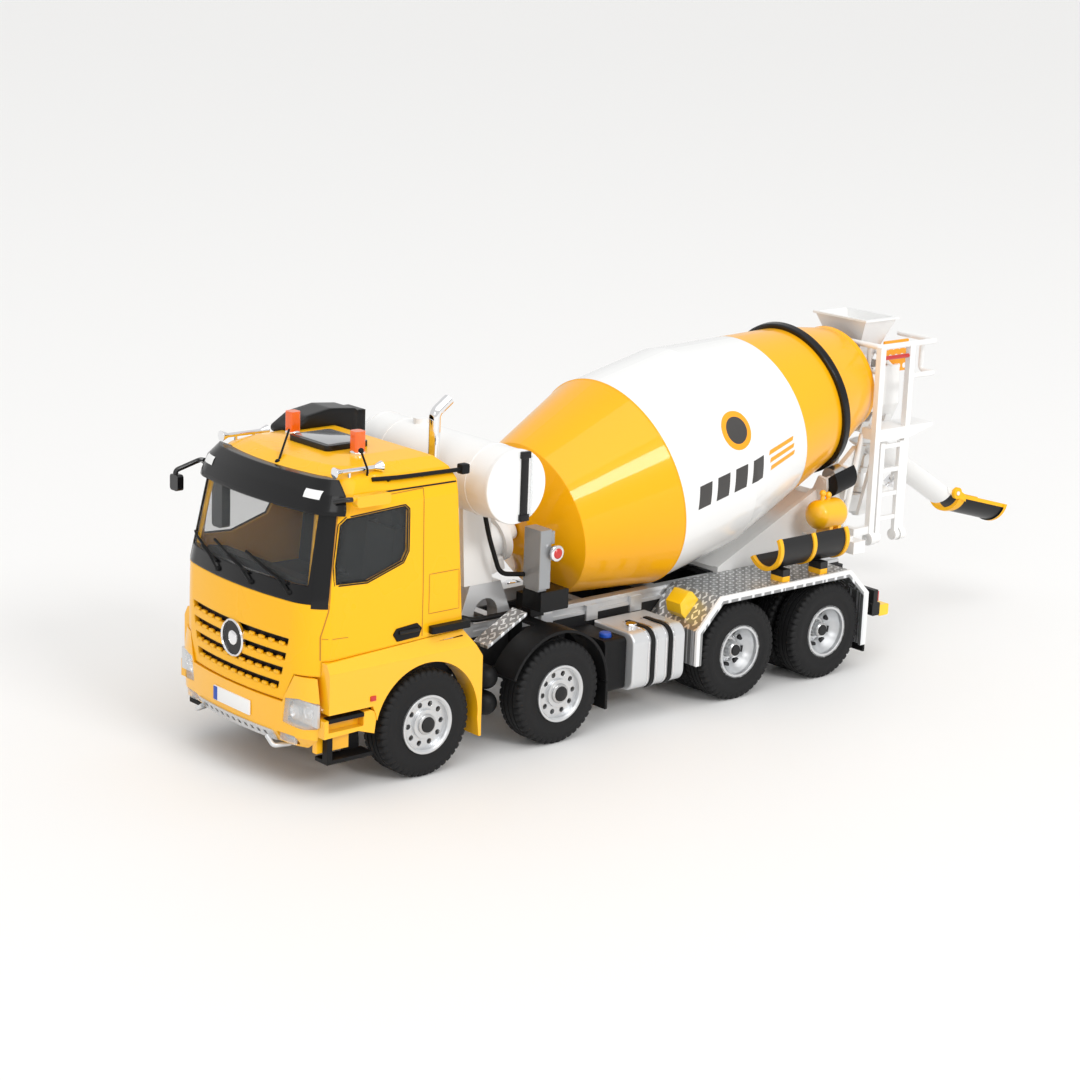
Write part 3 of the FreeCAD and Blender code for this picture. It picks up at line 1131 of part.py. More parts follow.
def build_cab_interior():
    tray = box(cab_rear_x + 2.0, 21.6, -21.2, 21.2, 28.6, 29.6)
    wall = box(cab_rear_x + 2.7, cab_rear_x + 3.5, -20.8, 20.8, 29.4, 54.0)
    dash = prism_y([(16.4, 29.4), (21.6, 29.4), (23.4, 34.0), (23.6, 39.0), (21.6, 40.2), (17.4, 39.4), (15.6, 36.0)],
                   -18.6, 18.6)
    seats = []
    for y in (10.4, -10.4):
        seats.append(round_edges(box(0.6, 9.6, y - 4.6, y + 4.6, 29.4, 35.4), 1.0, (0, 0, 1)))
        back = prism_y([(0.4, 34.0), (2.9, 34.0), (1.4, 47.6), (-1.2, 47.6)], y - 4.4, y + 4.4)
        head = round_edges(box(-1.4, 0.7, y - 2.2, y + 2.2, 47.4, 50.8), 0.6, (1, 0, 0))
        seats += [back, head]
    wheel = Part.makeTorus(3.6, 0.45, V(13.6, 10.4, 41.2), V(-0.55, 0, 0.85))
    spoke = [rod((13.6, 6.8, 41.2), (13.6, 14.0, 41.2), 0.4), rod((13.6, 10.4, 41.2), (18.4, 10.4, 36.0), 0.7)]
    backing = cab_body(cab_wall + 0.05).cut(cab_body(cab_wall + 0.85))
    backing = backing.common(box(20, 60, -16.6, 16.6, 19.4, 31.0))
    post_link = box(21.0, 27.0, -3, 3, 29.0, 30.0)
    body = fuse([tray, wall, dash, wheel] + seats + spoke + [backing, post_link])
    save("cab_interior", body.common(cab_body(cab_wall + 0.03).fuse(box(cab_rear_x + 2, 24, -21.5, 21.5, 28.6, 36))))


def bumper_body(inset):
    sections = [(9.4, cab_front_x - 1.2, 22.6), (11.6, cab_front_x + 0.1, 24.0), (19.0, cab_front_x + 0.25, 24.4),
                (24.0, cab_front_x - 0.3, 24.0)]
    wires = [cab_outline(front - inset, half - inset, 14.0, z) for z, front, half in sections]
    return Part.makeLoft(wires, True, True)


skid_half = 12.4
skid_top_z = 11.7
lamp_zone = [(15.0, 14.0), (15.8, 18.9), (19.0, 19.4), (26.0, 18.4), (26.0, 14.6), (20.0, 13.4)]
bumper_rear_x = 24.3


def build_bumper():
    outer = bumper_body(0.0)
    shell = outer.cut(bumper_body(1.2))
    keep = box(bumper_rear_x, 60, -40, 40, 0, 40)
    centre = prism_x([(-15.0, 17.9), (15.0, 17.9), (17.6, 23.7), (17.6, 40), (-17.6, 40), (-17.6, 23.7)], 10, 60)
    lamps = prism_x(lamp_zone, 20, 60)
    fog = round_edges(box(20, 60, 13.4, 18.4, 9.9, 11.8), 0.5, (1, 0, 0))
    mouth = box(20, 60, -skid_half, skid_half, 9.0, skid_top_z)
    corner_gap = prism_x([(17.6, 23.55), (40, 23.55), (40, 40), (17.6, 40)], 10, 60)
    shell = cut(shell.common(keep), [centre, lamps, mirrored(lamps), fog, mirrored(fog), mouth, corner_gap,
                                     mirrored(corner_gap)])
    shelf = box(frame_front_x, bumper_rear_x + 1.8, -14.0, 14.0, 14.4, 15.4)
    arms = both_sides([box(frame_front_x - 1.8, bumper_rear_x, rail_y - 3.0, rail_y - rail_wall, 15.4, 16.8)])
    front_link = box(bumper_rear_x - 1, cab_front_x - 0.6, -6.0, 6.0, 14.4, 15.4)
    sides = both_sides([fender()])
    save("bumper_and_fenders", fuse([shell, shelf, front_link] + arms + sides))
    lens = bumper_body(0.1).cut(bumper_body(0.75)).common(prism_x(lamp_zone, 20, 60))
    lens = lens.common(box(bumper_rear_x + 0.02, 60, -40, 40, 0, 40))
    save("headlamps", both_sides(lens.Solids))


fender_top_z = 26.7


def fender():
    # side skirt, wheel arch and step of the cab's lower body
    r = arch_radius
    rear_x = -r
    outline = [(23.4, 16.9), (23.4, fender_top_z), (cab_rear_x, fender_top_z + 1.3), (rear_x - 0.9, 22.4),
               (rear_x - 1.0, 5.9), (rear_x - 0.4, 5.9), (rear_x + 0.2, axle_z), (r * 0.9, axle_z),
               (r, 15.4), (13.2, 16.9)]
    y0 = 19.6
    block = prism_y(outline, y0, lower_half_width)
    opening = rod((0, y0 - 1, axle_z), (0, 40, axle_z), r)
    flare = prism_x([(0, 0), (lower_half_width, 0), (lower_half_width, 24.8), (cab_half_width - 0.3, 28.4), (0, 28.4)],
                    -40, 40)
    inside = prism_y([(22.4, 10), (22.4, fender_top_z - 0.9), (cab_rear_x + 0.4, fender_top_z + 0.3),
                      (rear_x + 1.2, 22.0), (rear_x + 1.2, 10)], y0 - 1, lower_half_width - 1.1)
    liner = ring((0, y0, axle_z), (0, lower_half_width - 0.3, axle_z), r + 0.7, r)
    liner = liner.common(box(-r - 2, r + 2, y0, 40, 16.0, 40))
    rear_strip = box(rear_x - 1.0, rear_x - 0.35, 17.6, lower_half_width - 0.3, 5.9, 20.6)
    panel = fuse([cut(block.common(flare), [inside]), liner]).cut(opening)
    step_rear = arch_radius - 0.5
    step = prism_y([(bumper_rear_x, 15.8), (step_rear + 1.4, 16.2), (step_rear, 15.4), (step_rear + 0.6, 11.4),
                    (step_rear + 4.4, 12.6), (bumper_rear_x, 12.3)], 19.4, lower_half_width - 0.2)
    pocket = box(step_rear + 3.2, bumper_rear_x - 1.0, 22.6, 30, 13.4, 17.0)
    apron = box(16.8, bumper_rear_x, 20.6, 21.8, 8.8, 13.0)
    web = box(14.0, bumper_rear_x, 19.4, 20.4, 12.4, 20.0)
    return fuse([panel, rear_strip, step.cut(pocket), apron, web])


def build_skid_plate():
    zone = box(20, 60, -skid_half, skid_half, 9.4, skid_top_z)
    body = bumper_body(-0.35).cut(bumper_body(0.85)).common(zone)
    bars = [box(24.0, cab_front_x + 3, y - 0.45, y + 0.45, 10.2, skid_top_z - 0.7) for y in range(-10, 11, 2)]
    hooks = both_sides([bent_rod([(24.6, 14.0, 8.8), (cab_front_x - 0.3, 13.2, 8.8), (cab_front_x - 0.3, 11.0, 10.2)],
                                 0.45, 0.8)])
    save("skid_plate", fuse([cut(body, bars)] + hooks))


def build_cab_fittings():
    visor = cab_body(-1.1).cut(cab_body(0.0)).common(prism_y([(19.4, 54.4), (40, 54.4), (40, 60.4), (18.4, 60.4)],
                                                             -40, 40))
    side_trim = box(0, 60, -cab_half_width - 0.4, cab_half_width + 0.4, 50, 70)
    trimmed = visor.common(side_trim)
    save("sun_visor", trimmed.Solids)
    hatch = round_edges(box(1.6, 11.6, -6.4, 6.4, roof_z, roof_z + 1.1), 0.9, (0, 0, 1))
    save("roof_hatch", hatch)
    cab = cab_body(0.0)
    beacons = []
    for y in (10.6, -10.6):
        base = rod((7.5, y, 61.2), (7.5, y, 62.9), 1.35)
        dome = box(6.3, 8.7, y - 1.2, y + 1.2, 62.8, 66.9)
        beacons.append(fuse([base, round_edges(dome, 0.6, (0, 0, 1))]).cut(cab))
    save("beacons", beacons)
    horns = []
    for sign in (1, -1):
        horns.append(air_horn(18.7 * sign).cut(cab))
    save("air_horns", horns)
    save("air_intake", intake())
    save("exhaust_stack", exhaust())
    save("mirrors", [cut(m, [cab] + trimmed.Solids) for m in mirrors()])


def air_horn(y):
    z = 61.6
    body = [rod((9.0, y, z), (17.6, y, z), 0.45), Part.makeCone(0.45, 1.1, 1.6, V(17.2, y, z), V(1, 0, 0)),
            Part.makeCone(0.45, 1.1, 1.6, V(9.6, y, z), V(-1, 0, 0))]
    feet = [rod((x, y, z - 2.6), (x, y, z), 0.35) for x in (11.2, 15.4)]
    return fuse(body + feet)


def intake():
    # air intake on the right rear corner of the roof
    outline = [(-10.4, 59.4), (5.6, 60.8), (6.2, 62.0), (2.0, 64.6), (-4.0, 65.6), (-10.4, 65.0)]
    body = prism_y(outline, -20.4, -13.6)
    top = round_edges(body, 0.9, (0, 1, 0))
    duct = box(cab_rear_x - 3.4, cab_rear_x + 3.6, -20.0, -14.2, 29.0, 64.4)
    return fuse([top, duct]).cut(cab_body(0.0))


exhaust_x = cab_rear_x - 3.6


def exhaust():
    x, y = exhaust_x, rail_y - 1.5
    pipe = bent_rod([(x, y, rail_z[1]), (x, y, 67.6), (x - 3.4, y, 70.0)], 1.15, 2.0)
    muffler = rod((x, y, 24.0), (x, y, 50.0), 1.9)
    return fuse([pipe, muffler]).cut(rod((x + 1.0, y, 66.4), (x - 4.6, y, 70.9), 0.75))


def mirrors():
    # left: arms and cap folded back along the door; right: tall mirror and a front mirror on a curved arm
    left_arm = bent_rod([(21.4, 22.2, 57.2), (20.0, 24.4, 57.9), (14.0, 24.6, 57.3)], 0.45, 0.8)
    left_cap = round_edges(box(10.6, 18.4, 23.8, 25.4, 56.2, 58.4), 0.7, (0, 1, 0))
    right_arm = bent_rod([(20.6, -21.6, 56.4), (19.4, -25.0, 55.8), (24.6, -26.0, 54.0), (24.4, -26.2, 50.8)],
                         0.5, 0.9)
    front_mirror = round_edges(box(23.6, 25.0, -27.4, -24.6, 50.0, 53.2), 0.6, (1, 0, 0))
    tall = round_edges(box(13.4, 15.4, -27.0, -23.4, 41.4, 52.6), 0.8, (1, 0, 0))
    hang = rod((14.4, -24.8, 52.0), (19.6, -24.6, 55.9), 0.45)
    return [fuse([left_arm, left_cap]), fuse([right_arm, front_mirror, tall, hang])]


def build_all():
    build_wheels()
    build_steering()
    build_axle_beams()
    build_chassis()
    build_mixer_subframe()
    build_drum_gearbox()
    build_drum()
    build_rollers()
    build_rear_pedestal()
    build_hopper()
    build_platform()
    build_folding_ladder()
    build_chute_swivel()
    build_main_chute()
    build_extension()
    build_lift_cylinder()
    build_water_tank()
    build_control_unit()
    build_fuel_tank()
    build_air_tanks()
    build_rear_fenders()
    build_mudguards()
    build_wheel_chocks()
    build_spare_chutes()
    build_pressure_tank()
    build_cab()
    build_cab_interior()
    build_bumper()
    build_skid_plate()
    build_cab_fittings()


build_all()
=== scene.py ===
import json
import math

import bmesh
import bpy
from mathutils import Matrix, Vector
from mathutils.bvhtree import BVHTree


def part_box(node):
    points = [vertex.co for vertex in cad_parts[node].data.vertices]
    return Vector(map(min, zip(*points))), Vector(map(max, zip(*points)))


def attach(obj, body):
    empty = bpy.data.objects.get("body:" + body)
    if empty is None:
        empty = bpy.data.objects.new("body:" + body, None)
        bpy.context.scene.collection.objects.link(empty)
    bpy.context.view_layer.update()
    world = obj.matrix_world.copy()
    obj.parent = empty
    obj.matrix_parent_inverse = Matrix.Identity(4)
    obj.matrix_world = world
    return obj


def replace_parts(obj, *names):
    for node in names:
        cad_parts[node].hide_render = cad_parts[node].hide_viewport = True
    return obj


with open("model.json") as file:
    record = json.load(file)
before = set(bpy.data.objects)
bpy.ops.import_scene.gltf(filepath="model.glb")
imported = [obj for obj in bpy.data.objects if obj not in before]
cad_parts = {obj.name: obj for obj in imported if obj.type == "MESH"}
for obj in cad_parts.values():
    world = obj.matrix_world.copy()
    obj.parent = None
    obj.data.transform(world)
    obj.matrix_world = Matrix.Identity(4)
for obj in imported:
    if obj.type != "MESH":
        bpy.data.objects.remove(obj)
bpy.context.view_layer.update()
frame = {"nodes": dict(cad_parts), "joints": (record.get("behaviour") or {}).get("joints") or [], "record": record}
NODES = frame["nodes"]
JOINTS = {j["name"]: j for j in frame["joints"]}
MM = 0.001
X, Y, Z = 0, 1, 2


def mm_box(node):
    """The lowest and highest corner of a CAD piece, in mm."""
    lo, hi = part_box(node)
    return [c / MM for c in lo], [c / MM for c in hi]


def joint_at(name):
    return Vector(JOINTS[name]["pos_m"]) / MM


# ------------------------------------------------------------------ materials
# Sizes inside a material are in metres, like the meshes that it covers.
MOTTLE_SCALE = 60.0     # uneven paint: blotches per metre
GRAIN_SCALE = 900.0     # moulded plastic and rubber: grains per metre
BUMP_HEIGHT = 0.0001
BAR_CELL = (0.0007, 0.0018)     # half the pitch of the tread plate's bars, across and along
BAR_SHIFT = 0.0009
BAR_LEVEL = 0.55                # a higher level leaves smaller bars


def new_material(name):
    mat = bpy.data.materials.new(name)
    mat.use_nodes = True
    nodes, links = mat.node_tree.nodes, mat.node_tree.links
    return mat, nodes, links, nodes["Principled BSDF"]


def calculate(mat, operation, *values):
    """A maths node. Each value is a number or the output of another node."""
    node = mat.node_tree.nodes.new("ShaderNodeMath")
    node.operation = operation
    for socket, value in zip(node.inputs, values):
        if isinstance(value, float):
            socket.default_value = value
        else:
            mat.node_tree.links.new(value, socket)
    return node.outputs[0]


def colour_mix(mat, factor, first, second):
    """A mix of two colours. Each is a tuple or the output of another node."""
    node = mat.node_tree.nodes.new("ShaderNodeMix")
    node.data_type = "RGBA"
    mat.node_tree.links.new(factor, node.inputs["Factor"])
    for letter, value in (("A", first), ("B", second)):
        if isinstance(value, tuple):
            node.inputs[letter].default_value = value + (1.0,)
        else:
            mat.node_tree.links.new(value, node.inputs[letter])
    return node.outputs["Result"]


def spread(mat, source, low, high):
    """The source's 0 to 1 stretched to low to high."""
    node = mat.node_tree.nodes.new("ShaderNodeMapRange")
    node.inputs["To Min"].default_value = low
    node.inputs["To Max"].default_value = high
    mat.node_tree.links.new(source, node.inputs["Value"])
    return node.outputs["Result"]


def speckle(mat, scale, detail=2.0):
    """Noise in the object's own coordinates."""
    nodes, links = mat.node_tree.nodes, mat.node_tree.links
    noise = nodes.new("ShaderNodeTexNoise")
    noise.inputs["Scale"].default_value = scale
    noise.inputs["Detail"].default_value = detail
    links.new(nodes.new("ShaderNodeTexCoord").outputs["Object"], noise.inputs["Vector"])
    return noise.outputs["Fac"]


def placed(mat, kind="POINT", turn=(0, 0, 0), scale=(1, 1, 1), at=(0, 0, 0)):
    """The three coordinates of the object after a turn in degrees, a scale and a shift."""
    nodes, links = mat.node_tree.nodes, mat.node_tree.links
    place = nodes.new("ShaderNodeMapping")
    place.vector_type = kind
    place.inputs["Rotation"].default_value = [math.radians(a) for a in turn]
    place.inputs["Scale"].default_value = scale
    place.inputs["Location"].default_value = at
    links.new(nodes.new("ShaderNodeTexCoord").outputs["Object"], place.inputs["Vector"])
    split = nodes.new("ShaderNodeSeparateXYZ")
    links.new(place.outputs[0], split.inputs[0])
    return split.outputs


def raised(mat, height, strength, normal):
    """The normal after a bump, laid over an earlier normal if there is one."""
    bump = mat.node_tree.nodes.new("ShaderNodeBump")
    bump.inputs["Strength"].default_value = strength
    bump.inputs["Distance"].default_value = BUMP_HEIGHT
    mat.node_tree.links.new(height, bump.inputs["Height"])
    if normal:
        mat.node_tree.links.new(normal, bump.inputs["Normal"])
    return bump.outputs["Normal"]


def shades(colour, darker, lighter):
    """The colour at two strengths, as a pair."""
    return tuple(c * darker for c in colour), tuple(min(1.0, c * lighter) for c in colour)


def finish(name, colour, rough=0.4, metal=0.0, coat=0.0, vary=0.03, grain=0.0, rounding=0.00012,
           masks=(), spec=0.5, coat_rough=0.05, rough_vary=0.06, mask_tilt=0.0):
    """A paint, plastic or metal with slight uneven colour and gloss.
    masks: ([(axis, low, high), ...], colour) in mm, in a frame turned about Y by mask_tilt degrees."""
    mat, nodes, links, shader = new_material(name)
    mottle = speckle(mat, MOTTLE_SCALE, 3.0)
    paint = colour_mix(mat, mottle, *shades(colour, 1 - vary, 1 + vary))
    if masks:
        coordinates = placed(mat, turn=(0, mask_tilt, 0))
    for limits, mask_paint in masks:
        inside = None
        for axis, low, high in limits:
            test = calculate(mat, "COMPARE", coordinates[axis], (low + high) / 2 * MM, (high - low) / 2 * MM)
            inside = calculate(mat, "MULTIPLY", inside, test) if inside else test
        paint = colour_mix(mat, inside, paint, mask_paint)
    links.new(paint, shader.inputs["Base Color"])
    gloss = spread(mat, mottle, max(0.02, rough - rough_vary), min(1.0, rough + rough_vary))
    links.new(gloss, shader.inputs["Roughness"])
    shader.inputs["Metallic"].default_value = metal
    shader.inputs["Specular IOR Level"].default_value = spec
    shader.inputs["Coat Weight"].default_value = coat
    shader.inputs["Coat Roughness"].default_value = coat_rough
    normal = None
    if rounding:
        bevel = nodes.new("ShaderNodeBevel")
        bevel.samples = 4
        bevel.inputs["Radius"].default_value = rounding
        normal = bevel.outputs["Normal"]
    if grain:
        normal = raised(mat, speckle(mat, GRAIN_SCALE), grain, normal)
    if normal:
        links.new(normal, shader.inputs["Normal"])
    return mat


def tread_plate(name, colour):
    """Silver sheet with raised bars crossing each other at right angles, as on fender tops, with a painted
    highlight on the bars and painted shade between them.
    """
    mat = finish(name, colour, rough=0.34, metal=0.75, vary=0.04)
    links = mat.node_tree.links
    shader = mat.node_tree.nodes["Principled BSDF"]
    bars = []
    for turn, shift in ((45, 0.0), (-45, BAR_SHIFT)):
        coordinates = placed(mat, "TEXTURE", (0, 0, turn), (*BAR_CELL, 1.0), (shift, shift, 0))
        waves = [calculate(mat, "SINE", calculate(mat, "MULTIPLY", coordinates[a], math.pi)) for a in (X, Y)]
        bars.append(calculate(mat, "GREATER_THAN", calculate(mat, "MULTIPLY", *waves), BAR_LEVEL))
    both = calculate(mat, "MAXIMUM", *bars)
    # painted highlight and shade: the bars get the silver at 1.5 times strength, the sheet between them at 0.55
    # times
    links.new(colour_mix(mat, both, *shades(colour, 0.55, 1.5)), shader.inputs["Base Color"])
    rounded = shader.inputs["Normal"].links[0].from_socket
    links.new(raised(mat, both, 0.6, rounded), shader.inputs["Normal"])
    return mat


def clear(name, colour, rough=0.03, alpha=0.35):
    """Thin clear plastic: part see-through, part glossy."""
    mat, _, links, shader = new_material(name)
    gloss = spread(mat, speckle(mat, 40.0), rough * 0.6, rough * 1.4)
    links.new(gloss, shader.inputs["Roughness"])
    shader.inputs["Base Color"].default_value = tuple(colour) + (1.0,)
    shader.inputs["Alpha"].default_value = alpha
    shader.inputs["Coat Weight"].default_value = 0.6
    shader.inputs["Coat Roughness"].default_value = 0.02
    return mat


YELLOW = (0.98, 0.49, 0.006)
YELLOW_DRUM = (0.96, 0.44, 0.004)
YELLOW_CHOCK = (1.0, 0.62, 0.01)
WHITE = (0.86, 0.86, 0.85)
BLACK = (0.005, 0.005, 0.0055)
RED = (0.55, 0.02, 0.015)
SILVER = (0.66, 0.67, 0.68)
GREY = (0.30, 0.31, 0.32)
M = {
    "cab_yellow": finish("cab_yellow", YELLOW, rough=0.28, coat=0.3, vary=0.012, rounding=0.0005,
                         spec=0.15, coat_rough=0.08),
    "drum_yellow": finish("drum_yellow", YELLOW_DRUM, rough=0.3, coat=0.5, vary=0.015, rounding=0.0003,
                          spec=0.12, coat_rough=0.04),
    "drum_white": finish("drum_white", WHITE, rough=0.22, coat=0.6, vary=0.01, rounding=0.0003),
    "white": finish("white_paint", WHITE, rough=0.36, coat=0.2, vary=0.015),
    "frame_grey": finish("frame_grey", (0.014, 0.014, 0.015), rough=0.45, vary=0.1, grain=0.1, spec=0.3),
    "silver": finish("silver", SILVER, rough=0.3, metal=0.55, vary=0.03),
    "rim_silver": finish("rim_silver", SILVER, rough=0.32, metal=0.8, vary=0.03),
    "steel": finish("steel", (0.55, 0.55, 0.55), rough=0.28, metal=1.0, vary=0.05),
    "chrome": finish("chrome", (0.85, 0.85, 0.86), rough=0.08, metal=1.0, vary=0.01, rough_vary=0.02),
    "black_plastic": finish("black_plastic", BLACK, rough=0.5, vary=0.15, grain=0.15, rounding=0.0002,
                            spec=0.22),
    "gloss_black": finish("gloss_black", BLACK, rough=0.24, coat=0.15, vary=0.1, rounding=0.0005,
                          spec=0.25),
    "grey_plastic": finish("grey_plastic", GREY, rough=0.38, metal=0.5, vary=0.05),
    "tyre": finish("tyre", (0.010, 0.010, 0.0105), rough=0.62, vary=0.12, grain=0.25, rounding=0.0,
                   spec=0.25),
    "red": finish("red_paint", RED, rough=0.3, coat=0.4, vary=0.03),
    "blue": finish("blue_paint", (0.01, 0.07, 0.42), rough=0.35, vary=0.03),
    "beacon_orange": clear("beacon_orange", (1.0, 0.16, 0.008), rough=0.12, alpha=0.82),
    "amber": finish("amber", (0.9, 0.2, 0.01), rough=0.2, coat=0.5, vary=0.02),
    "glass": clear("glass", (0.10, 0.11, 0.115), rough=0.04, alpha=0.16),
    "lens": clear("lamp_clear", (0.85, 0.88, 0.9), rough=0.06, alpha=0.30),
    "tread_plate": tread_plate("tread_plate", (0.58, 0.59, 0.60)),
    # the cab's yellow at about half strength: painted shade for the gaps of the door and locker seams
    "seam_shade": finish("seam_shade", (0.50, 0.20, 0.003), rough=0.5, vary=0.05, rounding=0.0),
    "chock_yellow": finish("chock_yellow", YELLOW_CHOCK, rough=0.3, coat=0.4, vary=0.015),
    "hatch_glass": finish("hatch_glass", GREY, rough=0.12, coat=0.6, vary=0.02),
    "decal_dark": finish("decal_dark", (0.045, 0.042, 0.04), rough=0.35, vary=0.05, rounding=0.0),
    "decal_orange": finish("decal_orange", (0.95, 0.36, 0.006), rough=0.35, vary=0.03, rounding=0.0),
}
M.update(lamp_clear=M["lens"], white_paint=M["white"])


# ----------------------------------------------------------- meshes, all in mm
def solid_box(lo, hi):
    x0, y0, z0 = lo
    x1, y1, z1 = hi
    v = [(x, y, z) for z in (z0, z1) for x, y in ((x0, y0), (x1, y0), (x1, y1), (x0, y1))]
    f = [(0, 3, 2, 1), (4, 5, 6, 7), (0, 1, 5, 4), (1, 2, 6, 5), (2, 3, 7, 6), (3, 0, 4, 7)]
    return v, f


def basis(axis):
    """The axis and two directions square to it."""
    axis = Vector(axis).normalized()
    side = axis.cross(Vector((0, 0, 1)) if abs(axis.z) < 0.9 else Vector((1, 0, 0))).normalized()
    return axis, side, axis.cross(side).normalized()


def lathe(origin, axis, profile, seg=48):
    """Closed shape turned about an axis; the (distance along, radius) pairs start and end on the axis."""
    a, b, c = basis(axis)
    o = Vector(origin)
    v, rings = [], []
    for along, radius in profile:
        if radius < 1e-6:
            rings.append([len(v)])
            v.append(tuple(o + a * along))
        else:
            rings.append(list(range(len(v), len(v) + seg)))
            for i in range(seg):
                t = 2 * math.pi * i / seg
                v.append(tuple(o + a * along + b * (radius * math.cos(t)) + c * (radius * math.sin(t))))
    f = []
    for r, s in zip(rings, rings[1:]):
        for i in range(seg):
            j = (i + 1) % seg
            if len(r) == 1 and len(s) == 1:
                continue
            if len(r) == 1:
                f.append((r[0], s[i], s[j]))
            elif len(s) == 1:
                f.append((r[i], s[0], r[j]))
            else:
                f.append((r[i], s[i], s[j], r[j]))
    return v, f


def hoop(origin, axis, profile, seg=64, start=0.0, end=360.0, up=None):
    """A ring of any closed section: profile holds (along, radius) pairs in order round the section."""
    a, b, c = basis(axis)
    if up is not None:
        b = Vector(up).normalized()
        c = a.cross(b).normalized()
    o = Vector(origin)
    full = abs(end - start - 360) < 1e-6
    count = seg if full else seg + 1
    n = len(profile)
    v, f = [], []
    for i in range(count):
        t = math.radians(start + (end - start) * i / seg)
        for along, radius in profile:
            v.append(tuple(o + a * along + b * (radius * math.cos(t)) + c * (radius * math.sin(t))))
    for i in range(seg):
        p, q = i * n, ((i + 1) % count) * n
        for k in range(n):
            m = (k + 1) % n
            f.append((p + k, q + k, q + m, p + m))
    if not full:
        f.append(tuple(range(n)))
        f.append(tuple(range((count - 1) * n, count * n))[::-1])
    return v, f


def smooth_path(points, bend=1.0, steps=6):
    """The points with each turn rounded off."""
    pts = [Vector(p) for p in points]
    out = [pts[0]]
    for a, b, c in zip(pts, pts[1:], pts[2:]):
        r = min(bend, (b - a).length * 0.48, (c - b).length * 0.48)
        p, q = b + (a - b).normalized() * r, b + (c - b).normalized() * r
        for i in range(steps + 1):
            t = i / steps
            out.append(p * (1 - t) ** 2 + b * 2 * t * (1 - t) + q * t * t)
    out.append(pts[-1])
    return out


def tube(points, radius, seg=12, bend=0.0):
    """A round bar along the points, with its turns rounded off to the bend."""
    path = smooth_path(points, bend) if bend else [Vector(p) for p in points]
    v, f = [], []
    side = None
    for i, p in enumerate(path):
        ahead = (path[min(i + 1, len(path) - 1)] - path[max(i - 1, 0)]).normalized()
        if side is None:
            _, side, _ = basis(ahead)
        side = (side - ahead * side.dot(ahead)).normalized()
        other = ahead.cross(side)
        for k in range(seg):
            t = 2 * math.pi * k / seg
            v.append(tuple(p + side * (radius * math.cos(t)) + other * (radius * math.sin(t))))
    for i in range(len(path) - 1):
        for k in range(seg):
            m = (k + 1) % seg
            f.append((i * seg + k, (i + 1) * seg + k, (i + 1) * seg + m, i * seg + m)[::-1])
    f.append(tuple(range(seg))[::-1])
    f.append(tuple(range((len(path) - 1) * seg, len(path) * seg)))
    return v, f


def prism(outline, axis, low, high):
    """An outline given in the two other axes, in X, Y, Z order, drawn out along the axis."""
    n = len(outline)
    v = []
    for level in (low, high):
        for p, q in outline:
            v.append({"x": (level, p, q), "y": (p, level, q), "z": (p, q, level)}[axis])
    f = [tuple(range(n))[::-1], tuple(range(n, 2 * n))]
    for i in range(n):
        j = (i + 1) % n
        f.append((i, j, n + j, n + i))
    return v, f


def ball(centre, radius, seg=16):
    turns = [math.pi * i / (seg // 2) for i in range(seg // 2 + 1)]
    return lathe(centre, (0, 0, 1), [(-radius * math.cos(t), radius * math.sin(t)) for t in turns], seg)


def grid_faces(cells):
    """The faces of a sheet of cells x cells, whose points run along its second direction first."""
    n = cells + 1
    return [(i * n + j, (i + 1) * n + j, (i + 1) * n + j + 1, i * n + j + 1)
            for i in range(cells) for j in range(cells)]


def soften(shape, width, steps=2):
    """Rounds every hard edge of a shape."""
    bm = bmesh.new()
    fill(bm, shape)
    bmesh.ops.recalc_face_normals(bm, faces=bm.faces)
    hard = math.radians(30)
    edges = [e for e in bm.edges if len(e.link_faces) == 2 and e.calc_face_angle(0) > hard]
    bmesh.ops.bevel(bm, geom=edges, offset=width, segments=steps, profile=0.6, affect="EDGES",
                    clamp_overlap=True)
    bm.verts.index_update()
    v = [tuple(x.co) for x in bm.verts]
    f = [tuple(x.index for x in face.verts) for face in bm.faces]
    bm.free()
    return v, f


def fill(bm, shape):
    verts = [bm.verts.new(p) for p in shape[0]]
    for face in shape[1]:
        bm.faces.new([verts[i] for i in face])


def other_side(shape):
    return [(p[0], -p[1], p[2]) for p in shape[0]], [face[::-1] for face in shape[1]]


def both_sides(shapes):
    return shapes + [other_side(s) for s in shapes]


def soft_box(lo, hi, width, steps=2):
    return soften(solid_box(lo, hi), width, steps)


def stud(at, axis, profile, seg=24):
    """A lathe shape whose flat ends close on the axis; the profile holds its outline only."""
    return lathe(at, axis, [(profile[0][0], 0), *profile, (profile[-1][0], 0)], seg)


def piece(name, shapes, material, body="truck", angle=32):
    """One Blender object made of the shapes, riding on a body of the CAD frame."""
    bm = bmesh.new()
    for shape in shapes:
        fill(bm, shape)
    bmesh.ops.recalc_face_normals(bm, faces=bm.faces)
    bmesh.ops.scale(bm, vec=(MM, MM, MM), verts=bm.verts)
    mesh = bpy.data.meshes.new(name)
    bm.to_mesh(mesh)
    bm.free()
    mesh.shade_smooth()
    mesh.set_sharp_from_angle(angle=math.radians(angle))
    mesh.materials.append(M[material])
    obj = bpy.data.objects.new(name, mesh)
    bpy.context.scene.collection.objects.link(obj)
    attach(obj, body)
    return obj


# --------------------------------------------- trim laid on the CAD's surfaces
trees = {}


def surface(*names):
    """A tree for casting rays at the named CAD pieces."""
    if names not in trees:
        verts, faces = [], []
        for name in names:
            base = len(verts)
            data = NODES[name].data
            verts += [v.co / MM for v in data.vertices]
            faces += [tuple(base + i for i in p.vertices) for p in data.polygons]
        trees[names] = BVHTree.FromPolygons(verts, faces)
    return trees[names]


